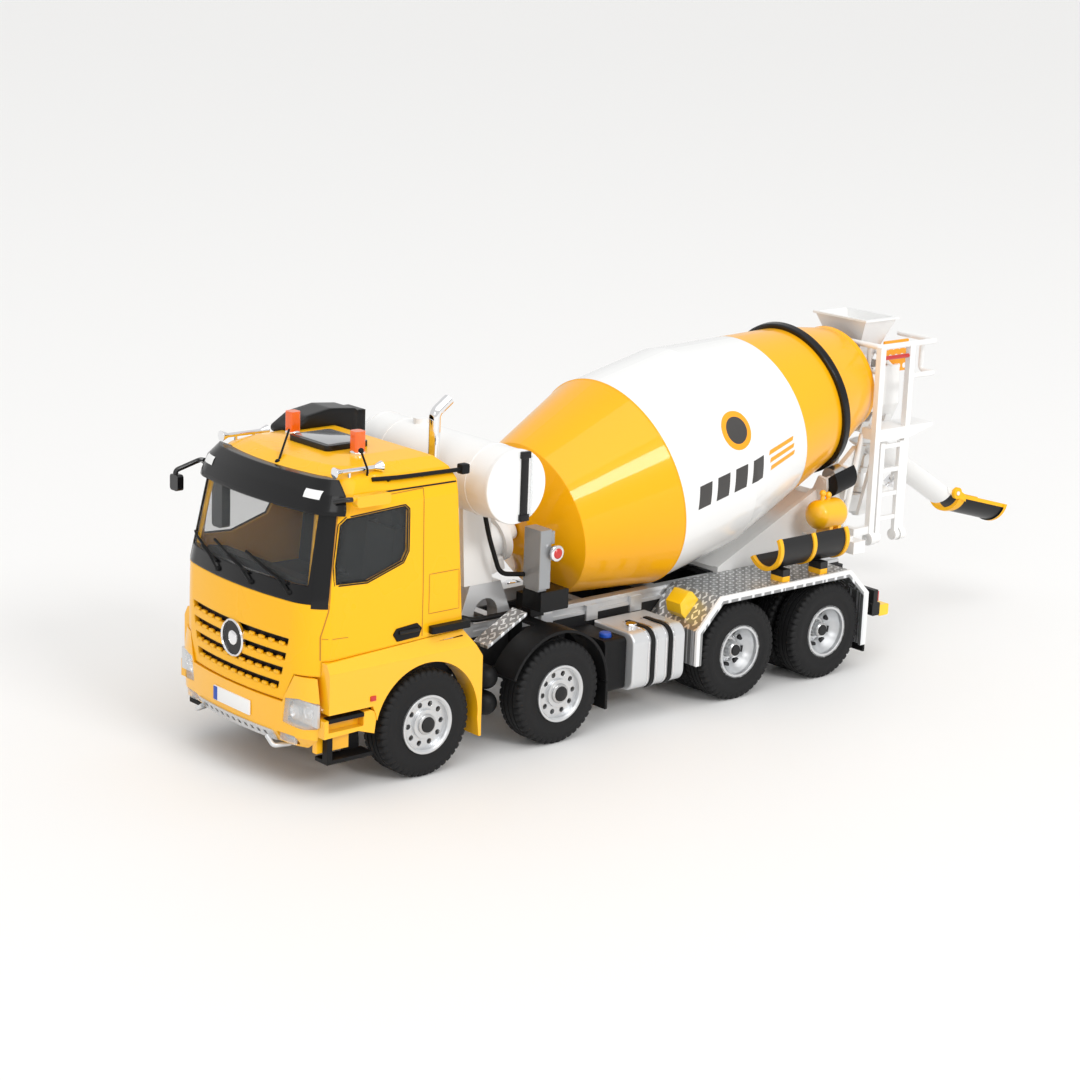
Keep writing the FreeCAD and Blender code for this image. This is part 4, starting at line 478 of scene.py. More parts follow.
def hit(tree, point, direction, back=30.0):
    """Where the line through the point meets the surface, and the normal there that faces back."""
    d = Vector(direction).normalized()
    place, normal, _, _ = tree.ray_cast(Vector(point) - d * back, d)
    if place is None:
        return None
    if normal.dot(d) > 0:
        normal = -normal
    return place, normal


def strip(points, width, direction, tree, raise_by=0.03, closed=False, step=0.8):
    """A flat band along the points, laid on the surface seen along the direction."""
    d = Vector(direction).normalized()
    pts = [Vector(p) for p in points]
    if closed:
        pts.append(pts[0])
    dense = []
    for a, b in zip(pts, pts[1:]):
        n = max(1, int((b - a).length / step))
        dense += [a + (b - a) * (i / n) for i in range(n)]
    dense.append(pts[-1])
    v, f = [], []
    last = None
    for i, p in enumerate(dense):
        ahead = dense[min(i + 1, len(dense) - 1)] - dense[max(i - 1, 0)]
        if closed and i in (0, len(dense) - 1):
            ahead = dense[1] - dense[-2]
        side = ahead.cross(d).normalized() * (width / 2)
        row = []
        for q in (p - side, p + side):
            found = hit(tree, q, d)
            if found is None:
                row = None
                break
            row.append(found[0] + found[1] * raise_by)
        if row is None:
            last = None
            continue
        base = len(v)
        v += [tuple(x) for x in row]
        if last is not None:
            f.append((last, last + 1, base + 1, base))
        last = base
    return v, f


def patch(corners, direction, tree, raise_by=0.04, cells=8):
    """A four-cornered sheet laid on a surface."""
    a, b, c, d = [Vector(p) for p in corners]
    v = []
    for i in range(cells + 1):
        for j in range(cells + 1):
            s, t = i / cells, j / cells
            p = (a * (1 - s) + b * s) * (1 - t) + (d * (1 - s) + c * s) * t
            found = hit(tree, p, direction)
            p = found[0] + found[1] * raise_by if found else p
            v.append(tuple(p))
    return v, grid_faces(cells)


# --------------------------------------------------------- looks of CAD pieces
CHUTE_SLOPE = 15.5      # degrees that the chute falls towards its end at rest
EDGE_PAINT = 1.05       # yellow rim round the tray and the chute extension


def tray_paint():
    lo, hi = mm_box("spare_chutes")
    middle = (lo[0] + hi[0]) / 2
    return finish("tray_paint", BLACK, rough=0.4, masks=[
        ([(X, lo[0] - 1, lo[0] + EDGE_PAINT)], YELLOW), ([(X, hi[0] - EDGE_PAINT, hi[0] + 1)], YELLOW),
        ([(X, middle - 0.55, middle + 0.55)], YELLOW), ([(Z, 0, lo[2] + 1.2)], YELLOW)])


def fender_paint():
    """Yellow, with the rear edge of the front fender's flap in white."""
    back = mm_box("bumper_and_fenders")[0][0]
    return finish("fender_paint", YELLOW, rough=0.30, coat=0.5, vary=0.015, grain=0.02, masks=[
        ([(X, back - 1, back + 0.62), (Z, 0, 20.7), (Y, -24.0, 24.0)], WHITE)])


def extension_paint():
    """Black, with the two ends and the top edges in yellow."""
    slope_turn = Matrix.Rotation(math.radians(CHUTE_SLOPE), 3, "Y")
    points = [slope_turn @ (v.co / MM) for v in NODES["chute_extension"].data.vertices]
    near, far = min(p.x for p in points), max(p.x for p in points)
    edge = max(p.z for p in points if p.x < near + 2.0)
    return finish("extension_paint", BLACK, rough=0.35, spec=0.25, mask_tilt=CHUTE_SLOPE, masks=[
        ([(X, near - 1, near + 0.9)], YELLOW), ([(X, far - 5.2, far + 1)], YELLOW),
        ([(Z, edge - 0.9, edge + 6)], YELLOW)])


look = {s["node"]: M[s["material_slot"]] for s in frame["record"]["subparts"]}
look["roof_hatch"] = M["gloss_black"]
look["wheel_chocks"] = M["chock_yellow"]
look["air_intake"] = finish("intake_black", BLACK, rough=0.3, vary=0.1, rounding=0.0016, spec=0.25)
look["spare_chutes"] = tray_paint()
look["bumper_and_fenders"] = fender_paint()
look["control_unit"] = finish("unit_paint", (0.34, 0.35, 0.36), rough=0.38, metal=0.45,
                              masks=[([(Z, 0, 30.35)], BLACK)])
look["chute_extension"] = extension_paint()
look["pressure_tank"] = finish("pressure_paint", YELLOW, rough=0.3, coat=0.4,
                               masks=[([(Z, 0, 29.25)], WHITE)])
look["mirrors"] = finish("mirror_paint", BLACK, rough=0.3, coat=0.3,
                         masks=[([(Y, 23.5, 30.0), (X, 0, 18.9), (Z, 56.0, 70)], YELLOW)])
for name, node in NODES.items():
    mesh = node.data
    mesh.materials.clear()
    mesh.materials.append(look[name])
    mesh.shade_smooth()
    mesh.set_sharp_from_angle(angle=math.radians(28))

# ------------------------------------------------------------------ tyres, rims
TREAD_BLOCKS = 44
GROOVE = 0.45
SHOULDER_CUT = 0.42
NUT_COUNT = 10
REAR_TYRE_WIDTH = 6.2
TWIN_GAP = 0.9
HAND_HOLES = 8


def tyre_shape(x, y0, y1, z, outer, inner):
    """A tyre with three grooves round it and cut shoulders."""
    width = y1 - y0
    # share of the width, radius, and whether the shoulder's cuts reach it
    half_section = [(0.0, inner + 0.45, 0), (0.012, inner + 1.0, 0), (0.02, inner + 2.0, 0),
                    (0.006, inner + 2.25, 0), (0.004, outer - 1.7, 0), (0.02, outer - 1.5, 0),
                    (0.012, outer - 1.0, 1), (0.05, outer - 0.35, 1), (0.10, outer - 0.06, 1),
                    (0.15, outer, 1), (0.275, outer, 0), (0.285, outer - GROOVE, 0),
                    (0.325, outer - GROOVE, 0), (0.335, outer, 0), (0.475, outer, 0),
                    (0.485, outer - GROOVE, 0)]
    section = half_section + [(1 - share, radius, cut) for share, radius, cut in half_section[::-1]]
    n = len(section)
    seg = TREAD_BLOCKS * 4
    v, f = [], []
    for i in range(seg):
        t = 2 * math.pi * i / seg
        for share, radius, cut in section:
            r = radius - (SHOULDER_CUT if cut and i % 4 == 0 else 0.0)
            skew = 0.012 * (share - 0.5)
            v.append((x + r * math.cos(t + skew), y0 + width * share, z + r * math.sin(t + skew)))
    for i in range(seg):
        p, q = i * n, ((i + 1) % seg) * n
        for k in range(n - 1):
            f.append((p + k, q + k, q + k + 1, p + k + 1))
        f.append((p + n - 1, q + n - 1, q, p))
    return v, f


def wheel_nuts(x, y, z, sign, ring, nut):
    """Nuts in a ring on the outer face of a wheel."""
    shapes = []
    for i in range(NUT_COUNT):
        t = 2 * math.pi * (i + 0.5) / NUT_COUNT
        at = (x + ring * math.cos(t), y, z + ring * math.sin(t))
        shapes.append(stud(at, (0, sign, 0), [(-0.1, nut), (0.28, nut * 0.95), (0.42, nut * 0.6)], 6))
    return shapes


def wheel_places(rim, tyre):
    """The middle in X and Z, the tyre's radius, the rim's radius and the Y span of both."""
    lo, hi = mm_box(tyre)
    rim_lo, rim_hi = mm_box(rim)
    return ((lo[0] + hi[0]) / 2, (lo[2] + hi[2]) / 2, (hi[0] - lo[0]) / 2, (rim_hi[0] - rim_lo[0]) / 2,
            (lo[1], hi[1]), (rim_lo[1], rim_hi[1]))


def front_wheel(body, sign):
    cx, cz, outer, rim_r, span, rim_span = wheel_places(body + "_rim", body + "_tyre")
    tread = piece(body + "_tread", [tyre_shape(cx, *span, cz, outer, rim_r - 0.4)], "tyre", body, 40)
    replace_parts(tread, body + "_tyre")
    face = rim_span[1] if sign > 0 else rim_span[0]
    out = (0, sign, 0)
    nuts = wheel_nuts(cx, face - sign * 1.05, cz, sign, 2.62, 0.28)
    piece(body + "_nuts", nuts, "chrome", body)
    piece(body + "_hub", [stud((cx, face - sign * 0.6, cz), out, [(0, 2.1), (0.45, 2.0), (0.6, 1.75)], 32)],
          "steel", body)
    piece(body + "_hub_cap", [stud((cx, face - sign * 0.1, cz), out, [(0, 1.6), (0.35, 1.5), (0.5, 1.1)])],
          "frame_grey", body)
    lip = hoop((cx, face - sign * 0.32, cz), out,
               [(0, rim_r - 0.75), (0.34, rim_r - 0.45), (0.4, rim_r - 0.2), (0.34, rim_r + 0.02),
                (0, rim_r + 0.02)], 72)
    piece(body + "_rim_lip", [lip], "rim_silver", body)


def twin_wheels(body):
    """Two tyres at each end of one shaft, with deep outer rims."""
    cx, cz, outer, rim_r, span, _ = wheel_places(body, body + "_tyres")
    reach = span[1]
    treads = []
    for y1 in (reach, reach - REAR_TYRE_WIDTH - TWIN_GAP):
        treads += both_sides([tyre_shape(cx, y1 - REAR_TYRE_WIDTH, y1, cz, outer, rim_r - 0.4)])
    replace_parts(piece(body + "_treads", treads, "tyre", body, 40), body + "_tyres")
    nuts, hubs, caps_and_hole_shade, rims = [], [], [], []
    for sign in (1, -1):
        face = sign * (reach + 0.1)
        disc = sign * (reach - REAR_TYRE_WIDTH + 2.3)
        out = (0, sign, 0)
        nuts += wheel_nuts(cx, disc + sign * 0.1, cz, sign, 2.55, 0.26)
        dish = [(disc, 2.95), (disc + sign * 0.4, 3.2), (disc + sign * 1.6, 4.4), (face - sign * 0.9, 5.1),
                (face - sign * 0.3, 5.35), (face, 5.6), (face, rim_r), (face - sign * 0.4, rim_r),
                (face - sign * 0.5, 5.45), (disc, 5.0)]
        rims.append(hoop((cx, 0, cz), (0, 1, 0), dish, 72))
        hubs.append(stud((cx, disc, cz), out,
                         [(0, 2.1), (0.5, 2.0), (0.8, 1.75), (2.6, 1.6), (2.75, 1.4)], 32))
        caps_and_hole_shade.append(lathe((cx, disc + sign * 2.7, cz), out, [(0, 0), (0, 1.25), (0.3, 1.15), (0.36, 0)], 24))
        # the hand holes are not cut: each is a dark disc on the dish, painted shade where the hole shows the dark
        # inside of the wheel
        for i in range(HAND_HOLES):
            t = 2 * math.pi * (i + 0.25) / HAND_HOLES
            at = (cx + 3.75 * math.cos(t), disc + sign * 0.75, cz + 3.75 * math.sin(t))
            caps_and_hole_shade.append(stud(at, out, [(-0.3, 0.72), (0.35, 0.72)], 16))
    piece(body + "_nuts", nuts, "chrome", body)
    piece(body + "_rims_outer", rims, "rim_silver", body)
    piece(body + "_hubs", hubs, "steel", body)
    # hub caps, and the dark discs that are painted shade for the hand holes
    piece(body + "_hub_caps_and_hole_shade", caps_and_hole_shade, "frame_grey", body)


for n in (1, 2):
    front_wheel("wheel_%d_left" % n, 1)
    front_wheel("wheel_%d_right" % n, -1)
for n in (3, 4):
    twin_wheels("wheelset_%d" % n)

# -------------------------------------------------------------------- drum trim
drum_start = joint_at("drum_spin")
drum_axis = Vector(JOINTS["drum_spin"]["axis"]).normalized()
drum_up = Vector((drum_axis.z, 0, -drum_axis.x))
ACROSS = Vector((0, 1, 0))


def drum_weld():
    """The rolled joint between the front cone and the belly."""
    station, radius, reach = 27.8, 23.1, 0.3
    section = [(station - reach, radius - 0.15), (station, radius + 0.14), (station + reach, radius - 0.05),
               (station, radius - 0.3)]
    piece("drum_weld", [hoop(drum_start, drum_axis, section, 128, up=drum_up)], "drum_yellow", "drum")


def drum_skin(station, angle, raise_by=0.05):
    """The point of the drum's skin at a station along its axis and an angle from the top towards the left."""
    t = math.radians(angle)
    outward = drum_up * math.cos(t) + ACROSS * math.sin(t)
    place, normal = hit(surface("drum_belly"), drum_start + drum_axis * station, -outward, back=40.0)
    return place + normal * raise_by


def drum_decal(corners, cells=8):
    """A four-cornered film on the drum's skin; the corners are (station, angle)."""
    v = []
    for i in range(cells + 1):
        for j in range(cells + 1):
            p, q = i / cells, j / cells
            low = [corners[0][k] + (corners[1][k] - corners[0][k]) * p for k in (0, 1)]
            high = [corners[3][k] + (corners[2][k] - corners[3][k]) * p for k in (0, 1)]
            v.append(tuple(drum_skin(*[low[k] + (high[k] - low[k]) * q for k in (0, 1)])))
    return v, grid_faces(cells)


def drum_decals():
    """Four dark bars, three orange stripes and a ring round a dot, on both sides of the belly."""
    bars = [drum_decal([(s, 97), (s + 3.6, 97), (s + 4.8, 85), (s + 1.2, 85)])
            for s in (31.5, 36.8, 42.1, 47.4)]
    stripes = [drum_decal([(54.0, a), (63.0, a), (63.5, a - 2.4), (54.5, a - 2.4)])
               for a in (96.0, 91.5, 87.0)]
    station, angle = 46.5, 66
    cells = 40
    dot, ring = [], []
    for i in range(cells):
        turns = (2 * math.pi * i / cells, 2 * math.pi * (i + 1) / cells)
        inner = [(station + 2.7 * math.cos(t), angle + 7.4 * math.sin(t)) for t in turns]
        outer = [(station + 3.9 * math.cos(t), angle + 10.6 * math.sin(t)) for t in turns]
        ring.append(drum_decal([inner[0], inner[1], outer[1], outer[0]], 2))
        dot.append(drum_decal([(station, angle), (station, angle), inner[1], inner[0]], 3))
    films = (("bars_dark", bars, "decal_dark"), ("bars_orange", stripes, "decal_orange"),
             ("ring", ring, "decal_orange"), ("dot", dot, "decal_dark"))
    for side, turn_over in (("left", False), ("right", True)):
        for label, shapes, material in films:
            shapes = [other_side(s) for s in shapes] if turn_over else shapes
            piece("drum_%s_%s" % (label, side), shapes, material, "drum")


drum_weld()
drum_decals()

# ---------------------------------------------------------- the cab from outside
INWARD = (0, -1, 0)         # looking at the left side
BACKWARD = (-1, 0, 0)       # looking at the front
UPRIGHT = (0, 0, 1)
AHEAD = (1, 0, 0)
OUTSIDE = 40                # a Y, or an X, well clear of the cab, from which trim is laid on it

skin = surface("cab_shell")
cab_front, cab_side = mm_box("cab_shell")[1][:2]


def along_side(points, width, tree=skin, **more):
    """A strip on the left side of the cab through (x, z) points."""
    return strip([(x, OUTSIDE, z) for x, z in points], width, INWARD, tree, **more)


def cab_sides():
    # thin strips of darker yellow on the door and locker outlines: painted shade standing in for the gaps
    seam_shade_strips = [along_side([(0.5, 28.2), (0.5, 57.2)], 0.22),
             along_side([(0.5, 57.2), (19.2, 56.6)], 0.2),
             along_side([(23.6, 27.0), (23.6, 31.5), (22.4, 36.5), (21.9, 41.0), (19.6, 55.6), (19.2, 56.6)],
                        0.22),
             along_side([(23.4, 31.2), (18.0, 30.9)], 0.16),
             along_side([(-1.0, 32.4), (-8.4, 32.4), (-8.2, 40.2), (-1.0, 40.2)], 0.18, closed=True)]
    piece("door_seam_shade", both_sides(seam_shade_strips), "seam_shade")
    window = [(21.0, 41.4), (20.9, 45.0), (19.6, 52.4), (18.4, 53.7), (5.0, 54.4), (4.1, 53.6), (4.2, 45.6),
              (5.4, 43.6), (13.8, 41.0)]
    rubber = along_side(window, 0.7, surface("cab_shell", "cab_glass"), closed=True, raise_by=0.05)
    piece("window_rubbers", both_sides([rubber]), "gloss_black")
    outline = [(7.6, 29.6), (6.8, 30.7), (1.8, 31.1), (0.7, 30.0), (1.4, 28.3), (6.6, 28.1)]
    handle = soften(prism(outline, "y", cab_side - 0.2, cab_side + 0.35), 0.25)
    piece("door_handles", both_sides([handle]), "black_plastic")
    grip = soft_box((1.5, cab_side + 0.2, 29.5), (6.4, cab_side + 0.75, 30.3), 0.2)
    piece("door_grips", both_sides([grip]), "gloss_black")


def roof_fittings():
    rails = []
    for s in (1, -1):
        rails.append(tube([(11.5, s * 20.6, 59.9), (6.0, s * 21.3, 59.75), (-9.6, s * 21.5, 59.5)], 0.42,
                          bend=1.5))
        rails.append(soft_box((-10.6, s * 21.5 - 0.9, 58.6), (-8.6, s * 21.5 + 0.9, 60.6), 0.4))
        for x in (8.0, 0.0, -7.0):
            rails.append(tube([(x, s * 20.2, 58.9), (x, s * 21.3, 59.6)], 0.3, 8))
    piece("roof_rails", rails, "black_plastic")
    drip = along_side([(15.6, 57.6), (-7.4, 57.5)], 0.3, raise_by=0.12)
    piece("drip_rails", both_sides([drip]), "gloss_black")
    lo, hi = mm_box("roof_hatch")
    pane = soft_box((lo[0] + 1.0, lo[1] + 1.0, hi[2] - 0.1), (hi[0] - 1.0, hi[1] - 1.0, hi[2] + 0.12), 0.1)
    piece("roof_hatch_pane", [pane], "hatch_glass")
    stalks = [tube([(11.8, 19.0, 58.6), (11.8, 19.6, 61.5), (14.2, 20.6, 65.6)], 0.22, 8, bend=0.5),
              ball((14.2, 20.6, 65.7), 0.55),
              lathe((11.8, 18.9, 58.4), UPRIGHT, [(0, 0), (0, 0.9), (0.7, 0.7), (0.9, 0)], 16),
              tube([(19.6, 1.7, 60.0), (18.9, 1.4, 61.4), (13.6, -3.2, 65.2)], 0.22, 8, bend=0.4),
              ball((19.7, 1.8, 60.6), 0.55)]
    piece("antennas", stalks, "black_plastic")
    beacon_y = mm_box("beacons")[1][1] - 1.35
    bases, cores = [], []
    for y in (beacon_y, -beacon_y):
        bases.append(stud((7.5, y, 62.3), UPRIGHT, [(0, 1.5), (0.5, 1.5), (0.8, 1.2)]))
        cores.append(soft_box((6.9, y - 0.6, 63.1), (8.1, y + 0.6, 66.0), 0.2))
    piece("beacon_bases", bases, "chrome")
    piece("beacon_lamps", cores, "amber")
    cab = surface("cab_shell", "windscreen_frame", "sun_visor")
    markers = []
    for y in (17.0, -17.0):
        corners = [(OUTSIDE, y - 1.9, 57.0), (OUTSIDE, y + 1.9, 57.0), (OUTSIDE, y + 1.9, 58.5),
                   (OUTSIDE, y - 1.9, 58.5)]
        markers.append(patch(corners, BACKWARD, cab, 0.12))
    piece("visor_lamps", markers, "white")


def grille():
    """A plain ring and disc, and rows of teeth along the grille's bars."""
    x = hit(skin, (OUTSIDE, 0, 28.2), BACKWARD)[0].x
    centre = (x, 0, 26.9)
    ring_section = [(-0.3, 3.2), (0.35, 3.25), (0.6, 3.45), (0.35, 3.7), (-0.3, 3.75)]
    piece("badge_ring", [hoop(centre, AHEAD, ring_section, 64),
                         stud(centre, AHEAD, [(-0.2, 1.5), (0.25, 1.4), (0.45, 0.9)], 40)], "chrome")
    piece("badge_field", [stud(centre, AHEAD, [(-0.6, 3.25), (0.05, 3.25)], 48)], "gloss_black")
    teeth = []
    half_count = 5
    for z, reach in ((28.9, 15.3), (25.95, 14.7), (23.0, 13.9), (20.05, 13.0)):
        for i in range(-half_count, half_count + 1):
            y = reach * i / (half_count + 0.4)
            behind_badge = abs(y) < 3.2 and z > 24
            found = hit(skin, (OUTSIDE, y, z - 0.35), BACKWARD)
            if found and not behind_badge:
                x = found[0].x
                teeth.append(soft_box((x - 0.5, y - 0.75, z - 0.1), (x + 0.12, y + 0.75, z + 0.55), 0.08, 1))
    piece("grille_teeth", teeth, "cab_yellow")


def number_plate():
    """A blank plate with a blue band."""
    found = hit(surface("bumper_and_fenders"), (60, 0, 15.6), BACKWARD)
    x = found[0].x if found else cab_front
    piece("number_plate", [soft_box((x - 0.1, -6.1, 13.0), (x + 0.3, 6.1, 15.9), 0.1)], "white")
    piece("number_plate_band", [soft_box((x + 0.2, -6.0, 13.1), (x + 0.36, -4.7, 15.8), 0.05)], "blue")


def pillar_covers():
    corner = surface("cab_shell", "windscreen_frame", "cab_glass")
    edges = [(26.2, 21.4, 36.9), (23.4, 23.2, 36.9), (21.0, 22.2, 56.0), (23.8, 20.4, 56.0)]
    piece("pillar_covers", both_sides([patch(edges, (-0.75, -0.66, 0), corner, 0.08, 16)]), "gloss_black")


def on_screen(y, z, off):
    """The point that lies off the windscreen by the given distance."""
    place, normal = hit(surface("cab_glass", "windscreen_frame"), (60, y, z), BACKWARD)
    return place + normal * off


def wipers():
    """Three arms, each from its spindle at the base to the blade between heel and tip; all are (y, z)."""
    shapes = []
    steps = 8
    for base, tip, heel in (((15.5, 39.2), (3.2, 43.6), (12.4, 41.2)),
                            ((5.0, 39.0), (-8.0, 43.4), (1.6, 41.0)),
                            ((-6.2, 39.0), (-17.2, 42.8), (-9.2, 40.8))):
        shapes.append(stud(on_screen(*base, -0.2), (1, 0, 0.2), [(0, 0.6), (0.7, 0.45)], 12))
        middle = ((heel[0] + tip[0]) / 2, (heel[1] + tip[1]) / 2)
        shapes.append(tube([on_screen(*base, 0.5), on_screen(*heel, 0.75), on_screen(*middle, 0.7)], 0.22, 8))
        blade = []
        for i in range(steps + 1):
            y = heel[0] + 2.4 + (tip[0] - 1.2 - heel[0] - 2.4) * i / steps
            z = heel[1] - 0.6 + (tip[1] + 0.5 - heel[1] + 0.6) * i / steps
            blade.append(on_screen(y, z, 0.4))
        shapes.append(tube(blade, 0.26, 8))
    piece("wipers", shapes, "black_plastic")


def front_lamps():
    bowls, housings, fogs = [], [], []
    for s in (1, -1):
        for y, z, r in ((17.2, 16.3, 1.35), (20.2, 16.6, 1.25)):
            found = hit(surface("headlamps"), (60, s * y, z), BACKWARD)
            if found:
                x = found[0].x
                bowl = [(-0.9, 0), (-0.8, r * 0.6), (0.0, r), (-0.05, r + 0.15), (-1.1, r * 0.8), (-1.2, 0)]
                bowls.append(lathe((x - 0.75, s * y, z), AHEAD, bowl, 28))
                bowls.append(ball((x - 1.1, s * y, z), 0.42, 12))
        low, high = sorted((s * 15.4, s * 23.0))
        housings.append(solid_box((24.4, low, 14.3), (25.0, high, 18.7)))
        found = hit(surface("bumper_and_fenders"), (60, s * 12.95, 12.4), BACKWARD)
        x = found[0].x if found else cab_front
        fogs.append(soft_box((x - 1.6, s * 15.9 - 2.3, 10.0), (x - 0.7, s * 15.9 + 2.3, 11.7), 0.2))
    piece("lamp_bowls", bowls, "chrome")
    piece("lamp_housings", housings, "silver")
    piece("fog_lamps", fogs, "lens")


cab_sides()
roof_fittings()
grille()
number_plate()
pillar_covers()
wipers()
front_lamps()


# ------------------------------------------------------------ sides of the frame
def band_round(tree, x, y, z, width, off):
    """A flat band round a body lying along X, laid on its skin from below to just past the top."""
    v, f = [], []
    steps = 36
    low, high = math.radians(-88), math.radians(100)
    for i in range(steps + 1):
        t = low + (high - low) * i / steps
        outward = Vector((0, math.cos(t), math.sin(t)))
        base = len(v)
        for dx in (-width / 2, width / 2):
            place, normal = hit(tree, Vector((x + dx, y, z)), -outward, back=25.0)
            v += [tuple(place + normal * off), tuple(place - normal * 0.05)]
        if i:
            last = base - 4
            f += [(last, last + 2, base + 2, base), (last, base, base + 1, last + 1),
                  (last + 2, last + 3, base + 3, base + 2)]
    return v, f


def fuel_tank_trim():
    lo, hi = mm_box("fuel_tank")
    tree = surface("fuel_tank")
    y, z = hi[1] - 7.0, (lo[2] + hi[2]) / 2
    straps, beads = [], []
    for x in (hi[0] - 5.4, lo[0] + 4.4):
        straps.append(band_round(tree, x, y, z, 1.1, 0.28))
        beads += [band_round(tree, x + side, y, z, 0.35, 0.16) for side in (1.15, -1.15)]
    piece("tank_straps", both_sides(straps), "black_plastic")
    piece("tank_strap_beads", both_sides(beads), "chrome")
    filler_at = ((lo[0] + hi[0]) / 2 + 4.2, hi[1] - 4.6, hi[2] - 0.2)
    filler = stud(filler_at, UPRIGHT, [(0, 1.3), (0.9, 1.3), (1.1, 1.1)], 28)
    piece("tank_fillers", both_sides([filler]), "chrome")


def fluid_caps():
    lo, hi = mm_box("air_tanks")
    cap = stud((lo[0] + 3.2, 19.0, hi[2] - 1.4), UPRIGHT, [(0, 1.35), (1.3, 1.3), (1.5, 1.1)], 28)
    piece("fluid_caps", both_sides([cap]), "blue")


def fender_lips():
    """A white edge round the outside of each rear fender."""
    lo, hi = mm_box("rear_fenders")
    off, depth = 0.12, 1.0
    front, back, top, y = hi[0] + off, lo[0] - off, hi[2] + off, hi[1]
    outer = [(front, 9.8), (front, hi[2] - 6.5), (hi[0] - 6.6, top), (lo[0] + 6.2, top), (back, hi[2] - 5.9),
             (back, 5.8)]
    inward = [(-depth, 0), (-depth, -depth / 2), (-depth / 2, -depth), (depth / 2, -depth),
              (depth, -depth / 2), (depth, 0)]
    inner = [(x + dx, z + dz) for (x, z), (dx, dz) in zip(outer, inward)]
    lip = soften(prism(outer + inner[::-1], "y", y - 0.75, y + 0.1), 0.12, 1)
    piece("fender_lips", both_sides([lip]), "white")


# ---------------------------------------------------------------- mixer fittings
def mixer_fittings():
    water_lo, water_hi = mm_box("water_tank")
    unit_lo, unit_hi = mm_box("control_unit")
    wx, wy, wz = (water_lo[0] + water_hi[0]) / 2, water_hi[1], 54.2
    gauge = [soft_box((wx - 2.6, wy - 0.2, wz - 6.6), (wx - 0.9, wy + 0.5, wz + 6.6), 0.2),
             soft_box((wx - 2.9, wy - 0.2, wz + 5.6), (wx - 0.6, wy + 0.75, wz + 7.0), 0.2),
             soft_box((wx - 2.9, wy - 0.2, wz - 7.0), (wx - 0.6, wy + 0.75, wz - 5.6), 0.2)]
    piece("level_gauge", gauge, "gloss_black")
    level_tube = stud((wx - 3.6, wy + 0.2, wz - 6.0), UPRIGHT, [(0, 0.35), (12.0, 0.35)], 14)
    piece("level_tube", [level_tube], "lens")
    band = [(-0.6, 7.3), (-0.6, 7.47), (0.6, 7.47), (0.6, 7.3)]
    piece("water_tank_bands", [hoop((wx, y, wz), (0, 1, 0), band, 72) for y in (-14.0, 14.0)], "white")
    slope = [(-17.0, 22.2), (-17.0, 22.9), (-27.0, 28.2), (-27.0, 27.5)]
    piece("access_step", both_sides([soften(prism(slope, "y", 17.0, 21.6), 0.1, 1)]), "tread_plate")
    knob_x, knob_y, knob_z = unit_hi[0] - 3.6, unit_hi[1] - 0.5, 38.4
    collar = stud((knob_x, knob_y, knob_z), (0, 1, 0), [(0, 1.7), (0.45, 1.65), (0.6, 1.4)], 28)
    piece("control_collar", [collar], "chrome")
    knob = stud((knob_x, knob_y + 0.1, knob_z), (0, 1, 0), [(0, 1.15), (0.5, 1.1), (0.7, 0.8)])
    piece("control_knob", [knob], "red")
    gear_x = mm_box("drum_gearbox")[1][0]
    hoses = [tube([(gear_x + 0.5, 1.2, 33.0), (gear_x + 2.0, 3.5, 31.0), (-16.0, 6.5, 27.0),
                   (-22.0, 10.5, 24.5), (-34.0, 11.6, 25.0)], 0.55, 10, bend=2.0),
             tube([(gear_x + 0.5, -1.2, 33.0), (gear_x + 2.0, -2.5, 30.0), (-14.0, -5.5, 26.0)], 0.55, 10,
                  bend=2.0),
             tube([(wx, 12.0, wz - 7.0), (wx - 1.0, 12.5, 42.0), (wx - 4.0, 12.6, 34.0),
                   (unit_lo[0] + 6.0, 13.6, 33.0)], 0.5, 10, bend=2.0)]
    piece("hoses", hoses, "black_plastic")


def gearbox_bolts():
    """A ring of bolts on the flange that turns the drum."""
    count, ring = 10, 4.9
    bolts = []
    for i in range(count):
        t = 2 * math.pi * i / count
        at = drum_start - drum_axis * 5.2 + drum_up * (ring * math.cos(t)) + ACROSS * (ring * math.sin(t))
        bolts.append(stud(at, drum_axis, [(-0.6, 0.4), (0.2, 0.4)], 6))
    piece("gearbox_bolts", bolts, "silver")


# ----------------------------------------------------------------- rear fittings
def rear_fittings():
    post = joint_at("ladder_fold").x
    bar_z = mm_box("access_platform")[1][2] - 3.2
    bar = tube([(post - 0.3, 14.0, bar_z), (post - 9.6, 14.0, bar_z)], 0.5)
    piece("red_bar", [bar], "red")
    guard = [(post - 9.4, bar_z - 5.4), (post - 17.8, bar_z - 5.4), (post - 17.8, bar_z + 1.9),
             (post - 9.4, bar_z + 1.9)]
    piece("guard_plate", [soften(prism(guard, "y", 6.0, 6.5), 0.12, 1)], "decal_orange")
    holes = []
    for row in range(3):
        for column in range(4):
            at = (post - 10.6 - 2.0 * column - (row % 2), 6.4, bar_z - 4.2 + 2.3 * row)
            holes.append(stud(at, (0, 1, 0), [(0, 0.62), (0.16, 0.62)], 20))
    piece("guard_plate_holes", holes, "white")
    back, _, low = mm_box("chassis_frame")[0]
    tail = [soft_box((back + 0.4, y - 2.4, low + 3.2), (back + 1.0, y + 2.4, low + 5.6), 0.15)
            for y in (19.0, -19.0)]
    piece("tail_lamps", tail, "red")
    marker = soft_box((12.6, cab_side + 1.55, 18.0), (13.9, cab_side + 2.0, 19.0), 0.15)
    piece("side_markers", both_sides([marker]), "red")


fuel_tank_trim()
fluid_caps()
fender_lips()
mixer_fittings()
gearbox_bolts()
rear_fittings()


